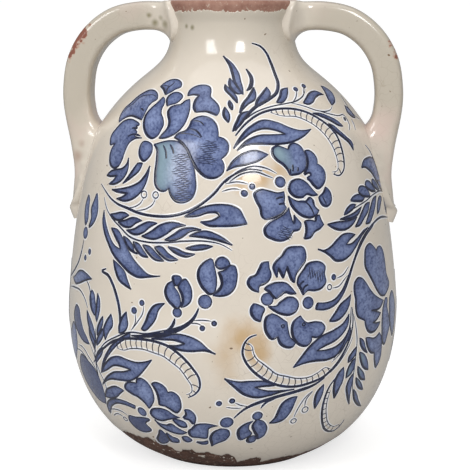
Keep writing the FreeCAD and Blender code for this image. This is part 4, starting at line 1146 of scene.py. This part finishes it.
def spray_work(text):
    """The filled shapes and the strokes of a spray: (edge, kind) and (path, width, tapers, halo)."""
    fills, strokes = [], []
    outline = size_of("outline_width")
    for kind, rest in drawing(text):
        if kind in ("petal", "teal", "dark"):
            spots, sharp = read_spots(rest)
            runs = edge_runs(spots, sharp)
            edge = np.vstack([run[:-1] for run in runs])
            fills.append((edge, kind))
            turns = np.sign(np.cross(edge, np.roll(edge, -1, axis=0)).sum())
            for run in runs:
                # An outline runs from half to one and a half times its width, widest on the left, slightly
                # lower side of its shape: painted shade along the edge away from the lights.
                width_with_painted_shade = 1 + 0.5 * (-turns * across_path(run)) @ np.array([-0.92, -0.38])
                strokes.append((run, outline * width_with_painted_shade, (0.6, 0.6), True))
        elif kind == "line":
            width, _, rest = rest.partition(" ")
            path = curve_through(read_spots(rest)[0], False, 0.6)
            strokes.append((path, float(width), (0.35, 0.35), True))
        elif kind == "mark":
            strokes.append((curve_through(read_spots(rest)[0], False, 0.4), 1.3, (0.2, 0.8), False))
        elif kind == "ladder":
            outer, inner = (curve_through(read_spots(part)[0], False, 0.6) for part in rest.split("|"))
            strokes += [(outer, 1.4, (0.5, 0.4), True), (inner, 0.6, (0.5, 0.5), True)]
            for end in inner[2::5]:
                start = outer[np.argmin(np.hypot(*(outer - end).T))]
                bend = 0.5 * (start + end) + 0.12 * (end - start)[::-1] * (1, -1)
                rung = curve_through(np.array([start, bend, end]), False, 0.5)
                strokes.append((rung, 0.5, (0.7, 0.7), False))
        elif kind in ("ring", "dot", "ball"):
            spot, _, radius = rest.partition(" ")
            (x, y), radius = read_spots(spot)[0][0], float(radius)
            edge = circle(x, y, radius)
            strokes.append((np.vstack([edge, edge[:2]]), 0.6 if radius > 1.1 else 0.8, (1, 1), True))
            if kind != "ring":
                fills.append((edge, "petal" if kind == "ball" else "dark"))
        elif kind == "hatch":
            strokes += hatching(rest)
    return fills, strokes


def painted(name, place, text):
    """The halo, washes and lines of a spray, on the front and again on the back."""
    fills, strokes = spray_work(text)
    ground = -size_of("glaze_inset")
    washes = []
    for edge, kind in fills:
        spots, faces, gap = filled(edge)
        crown = ground + WASH_LIFT + 0.025 * (1 - np.exp(-gap / 1.2)) - 0.02 * np.exp(-gap / 0.15)
        thin = np.zeros(len(spots))
        if kind == "teal":
            low, high = spots[:, 0].min(), spots[:, 0].max()
            thin = 0.9 * np.clip(1.5 - 2.4 * (spots[:, 0] - low) / (high - low), 0, 1)
        deep = 0.75 if kind == "dark" else 0.85 * np.exp(-gap / 1.3)
        washes.append((spots, faces, crown, np.broadcast_to(deep, len(spots)), thin))
    bands = []
    for path, width, taper, halo in strokes:
        bands.append((stroke(path, width, taper), ground + LINE_LIFT, "line"))
        if halo:
            wide = width + size_of("halo_width")
            bands.append((stroke(path, wide, (0.45, 0.45)), ground + HALO_LIFT, "halo"))
    for side in SIDES:
        layers = {key: Builder() for key in ("wash", "line", "halo")}
        for spots, faces, crown, deep, thin in washes:
            layers["wash"].add(on_spray(spots, place, side, crown), faces, pool=deep, thin=thin)
        for (spots, faces, body), low, key in bands:
            layers[key].add(on_spray(spots, place, side, low + STROKE_SWELL * body), faces)
        for key, make in (("wash", cobalt_wash), ("line", cobalt_line), ("halo", pale_halo)):
            layers[key].piece(f"{name}_{key}_{side}", the_material(make))


class VASE_OT_flowers(bpy.types.Operator):
    """Blue flowers and leaves painted round the body"""
    bl_idname = "vase.flowers"
    bl_label = "Flowers"

    def execute(self, context):
        for name, (place, text) in SPRAYS.items():
            painted(name, place, text)
        return {"FINISHED"}


class VASE_OT_crumbs(bpy.types.Operator):
    """Crumbs of glaze left on the bare clay of the foot"""
    bl_idname = "vase.crumbs"
    bl_label = "Glaze crumbs"

    def execute(self, context):
        for side in SIDES:
            crumbs = Builder()
            for i, (x, y) in enumerate(read_spots(CRUMBS)[0]):
                for j in range(3):
                    t = np.linspace(0, 2 * math.pi, 14, endpoint=False)
                    radius = 1.5 if i == 5 and j == 0 else 0.9 - 0.25 * j
                    size = radius * (1 + 0.35 * np.sin(3 * t + i + j) + 0.2 * np.sin(5 * t + 2 * i))
                    away = 2.4 * j
                    edge = np.column_stack([x + away * math.cos(i * 2.4 + j) + 1.5 * size * np.cos(t),
                                            y + away * math.sin(i * 2.4 + j) + size * np.sin(t)])
                    spots, faces, gap = filled(edge, 0.6)
                    lift = -GLAZE + 0.25 * (1 - np.exp(-gap / 0.25)) - 0.08
                    crumbs.add(on_spray(spots, FOOT_PLACE, side, lift), faces)
            crumbs.piece(f"glaze_crumbs_{side}", the_material(tin_glaze))
        return {"FINISHED"}


class VASE_OT_stage(bpy.types.Operator):
    """Pale sweep, soft studio lights and the camera"""
    bl_idname = "vase.stage"
    bl_label = "Stage"

    def execute(self, context):
        # The paper lies flat under the vase and sweeps up behind it: steps back and up in metres.
        profile = [(-3.0, 0.0), (1.2, 0.0), (1.55, 0.06), (1.85, 0.25), (2.0, 0.6), (2.0, 3.2)]
        points = [(x, y, z) for y, z in profile for x in (-4.0, 4.0)]
        mesh = bpy.data.meshes.new("paper_sweep")
        mesh.from_pydata(points, [], grid_faces(len(profile), 2))
        mesh.materials.append(the_material(backdrop_paper))
        sweep = bpy.data.objects.new("paper_sweep", mesh)
        bpy.context.scene.collection.objects.link(sweep)
        # Two windows in front and a wide soft fill above: place and aim, width and height, and watts
        for name, place, aim, wide, high, power in (
            ("window_left", (-0.95, -1.25, 1.05), (0, 0, 0.13), 0.5, 0.9, 10.5),
            ("window_right", (0.55, -1.6, 1.15), (0, 0, 0.13), 0.45, 0.8, 15),
            ("top_fill", (0.0, 0.2, 1.9), (0, 0, 0.1), 1.6, 1.6, 7),
        ):
            light = bpy.data.lights.new(name, "AREA")
            light.shape, light.size, light.size_y, light.energy = "RECTANGLE", wide, high, power
            lamp = bpy.data.objects.new(name, light)
            lamp.location = place
            lamp.rotation_euler = (Vector(aim) - Vector(place)).to_track_quat("-Z", "Y").to_euler()
            bpy.context.scene.collection.objects.link(lamp)
        world = bpy.data.worlds.new("studio")
        world.use_nodes = True
        world.node_tree.nodes["Background"].inputs["Color"].default_value = (1.0, 0.995, 0.985, 1.0)
        seen = add(world.node_tree, "LightPath").outputs["Is Camera Ray"]
        # The room is white where it is seen, and less bright where it only lights the vase.
        bright = add(world.node_tree, "MapRange", {"Value": seen, "To Min": 0.42, "To Max": 1.0})
        world.node_tree.links.new(bright.outputs[0], world.node_tree.nodes["Background"].inputs["Strength"])
        bpy.context.scene.world = world
        context.scene.view_settings.view_transform = "Standard"
        data = bpy.data.cameras.new("camera")
        data.lens, data.sensor_width = 105.2, 36.0
        data.clip_start, data.clip_end = 0.05, 20
        camera = bpy.data.objects.new("camera", data)
        # The camera stands straight in front of the painted figure, about level with the rim.
        back, eye_height = 0.7, 0.232
        round_by, down_by, aside_by = (math.radians(a) for a in (FACE_TURN, 9.87, 0.1))
        camera.location = (back * math.sin(round_by), -back * math.cos(round_by), eye_height)
        camera.rotation_euler = (math.pi / 2 - down_by, 0, round_by - aside_by)
        bpy.context.scene.collection.objects.link(camera)
        bpy.context.scene.camera = camera
        return {"FINISHED"}


class VASE_PT_panel(bpy.types.Panel):
    bl_idname = "VASE_PT_panel"
    bl_label = "Vase"
    bl_space_type = "VIEW_3D"
    bl_region_type = "UI"
    bl_category = "Vase"

    def draw(self, context):
        for operator in OPERATORS:
            self.layout.operator(operator.bl_idname)
        for group in (context.scene.vase_sizes, context.scene.vase_colours):
            for key in group.__annotations__:
                self.layout.prop(group, key)


OPERATORS = (VASE_OT_clay, VASE_OT_lining, VASE_OT_body_glaze, VASE_OT_strap_glaze, VASE_OT_flowers,
             VASE_OT_crumbs, VASE_OT_stage)
CLASSES = (VaseSizes, VaseColours, *OPERATORS, VASE_PT_panel)


def register():
    for each in CLASSES:
        bpy.utils.register_class(each)
    bpy.types.Scene.vase_sizes = bpy.props.PointerProperty(type=VaseSizes)
    bpy.types.Scene.vase_colours = bpy.props.PointerProperty(type=VaseColours)


def unregister():
    del bpy.types.Scene.vase_colours
    del bpy.types.Scene.vase_sizes
    for each in reversed(CLASSES):
        bpy.utils.unregister_class(each)


def main():
    register()
    for operator in OPERATORS:
        getattr(bpy.ops.vase, operator.bl_idname.partition(".")[2])()


if __name__ == "__main__":
    main()
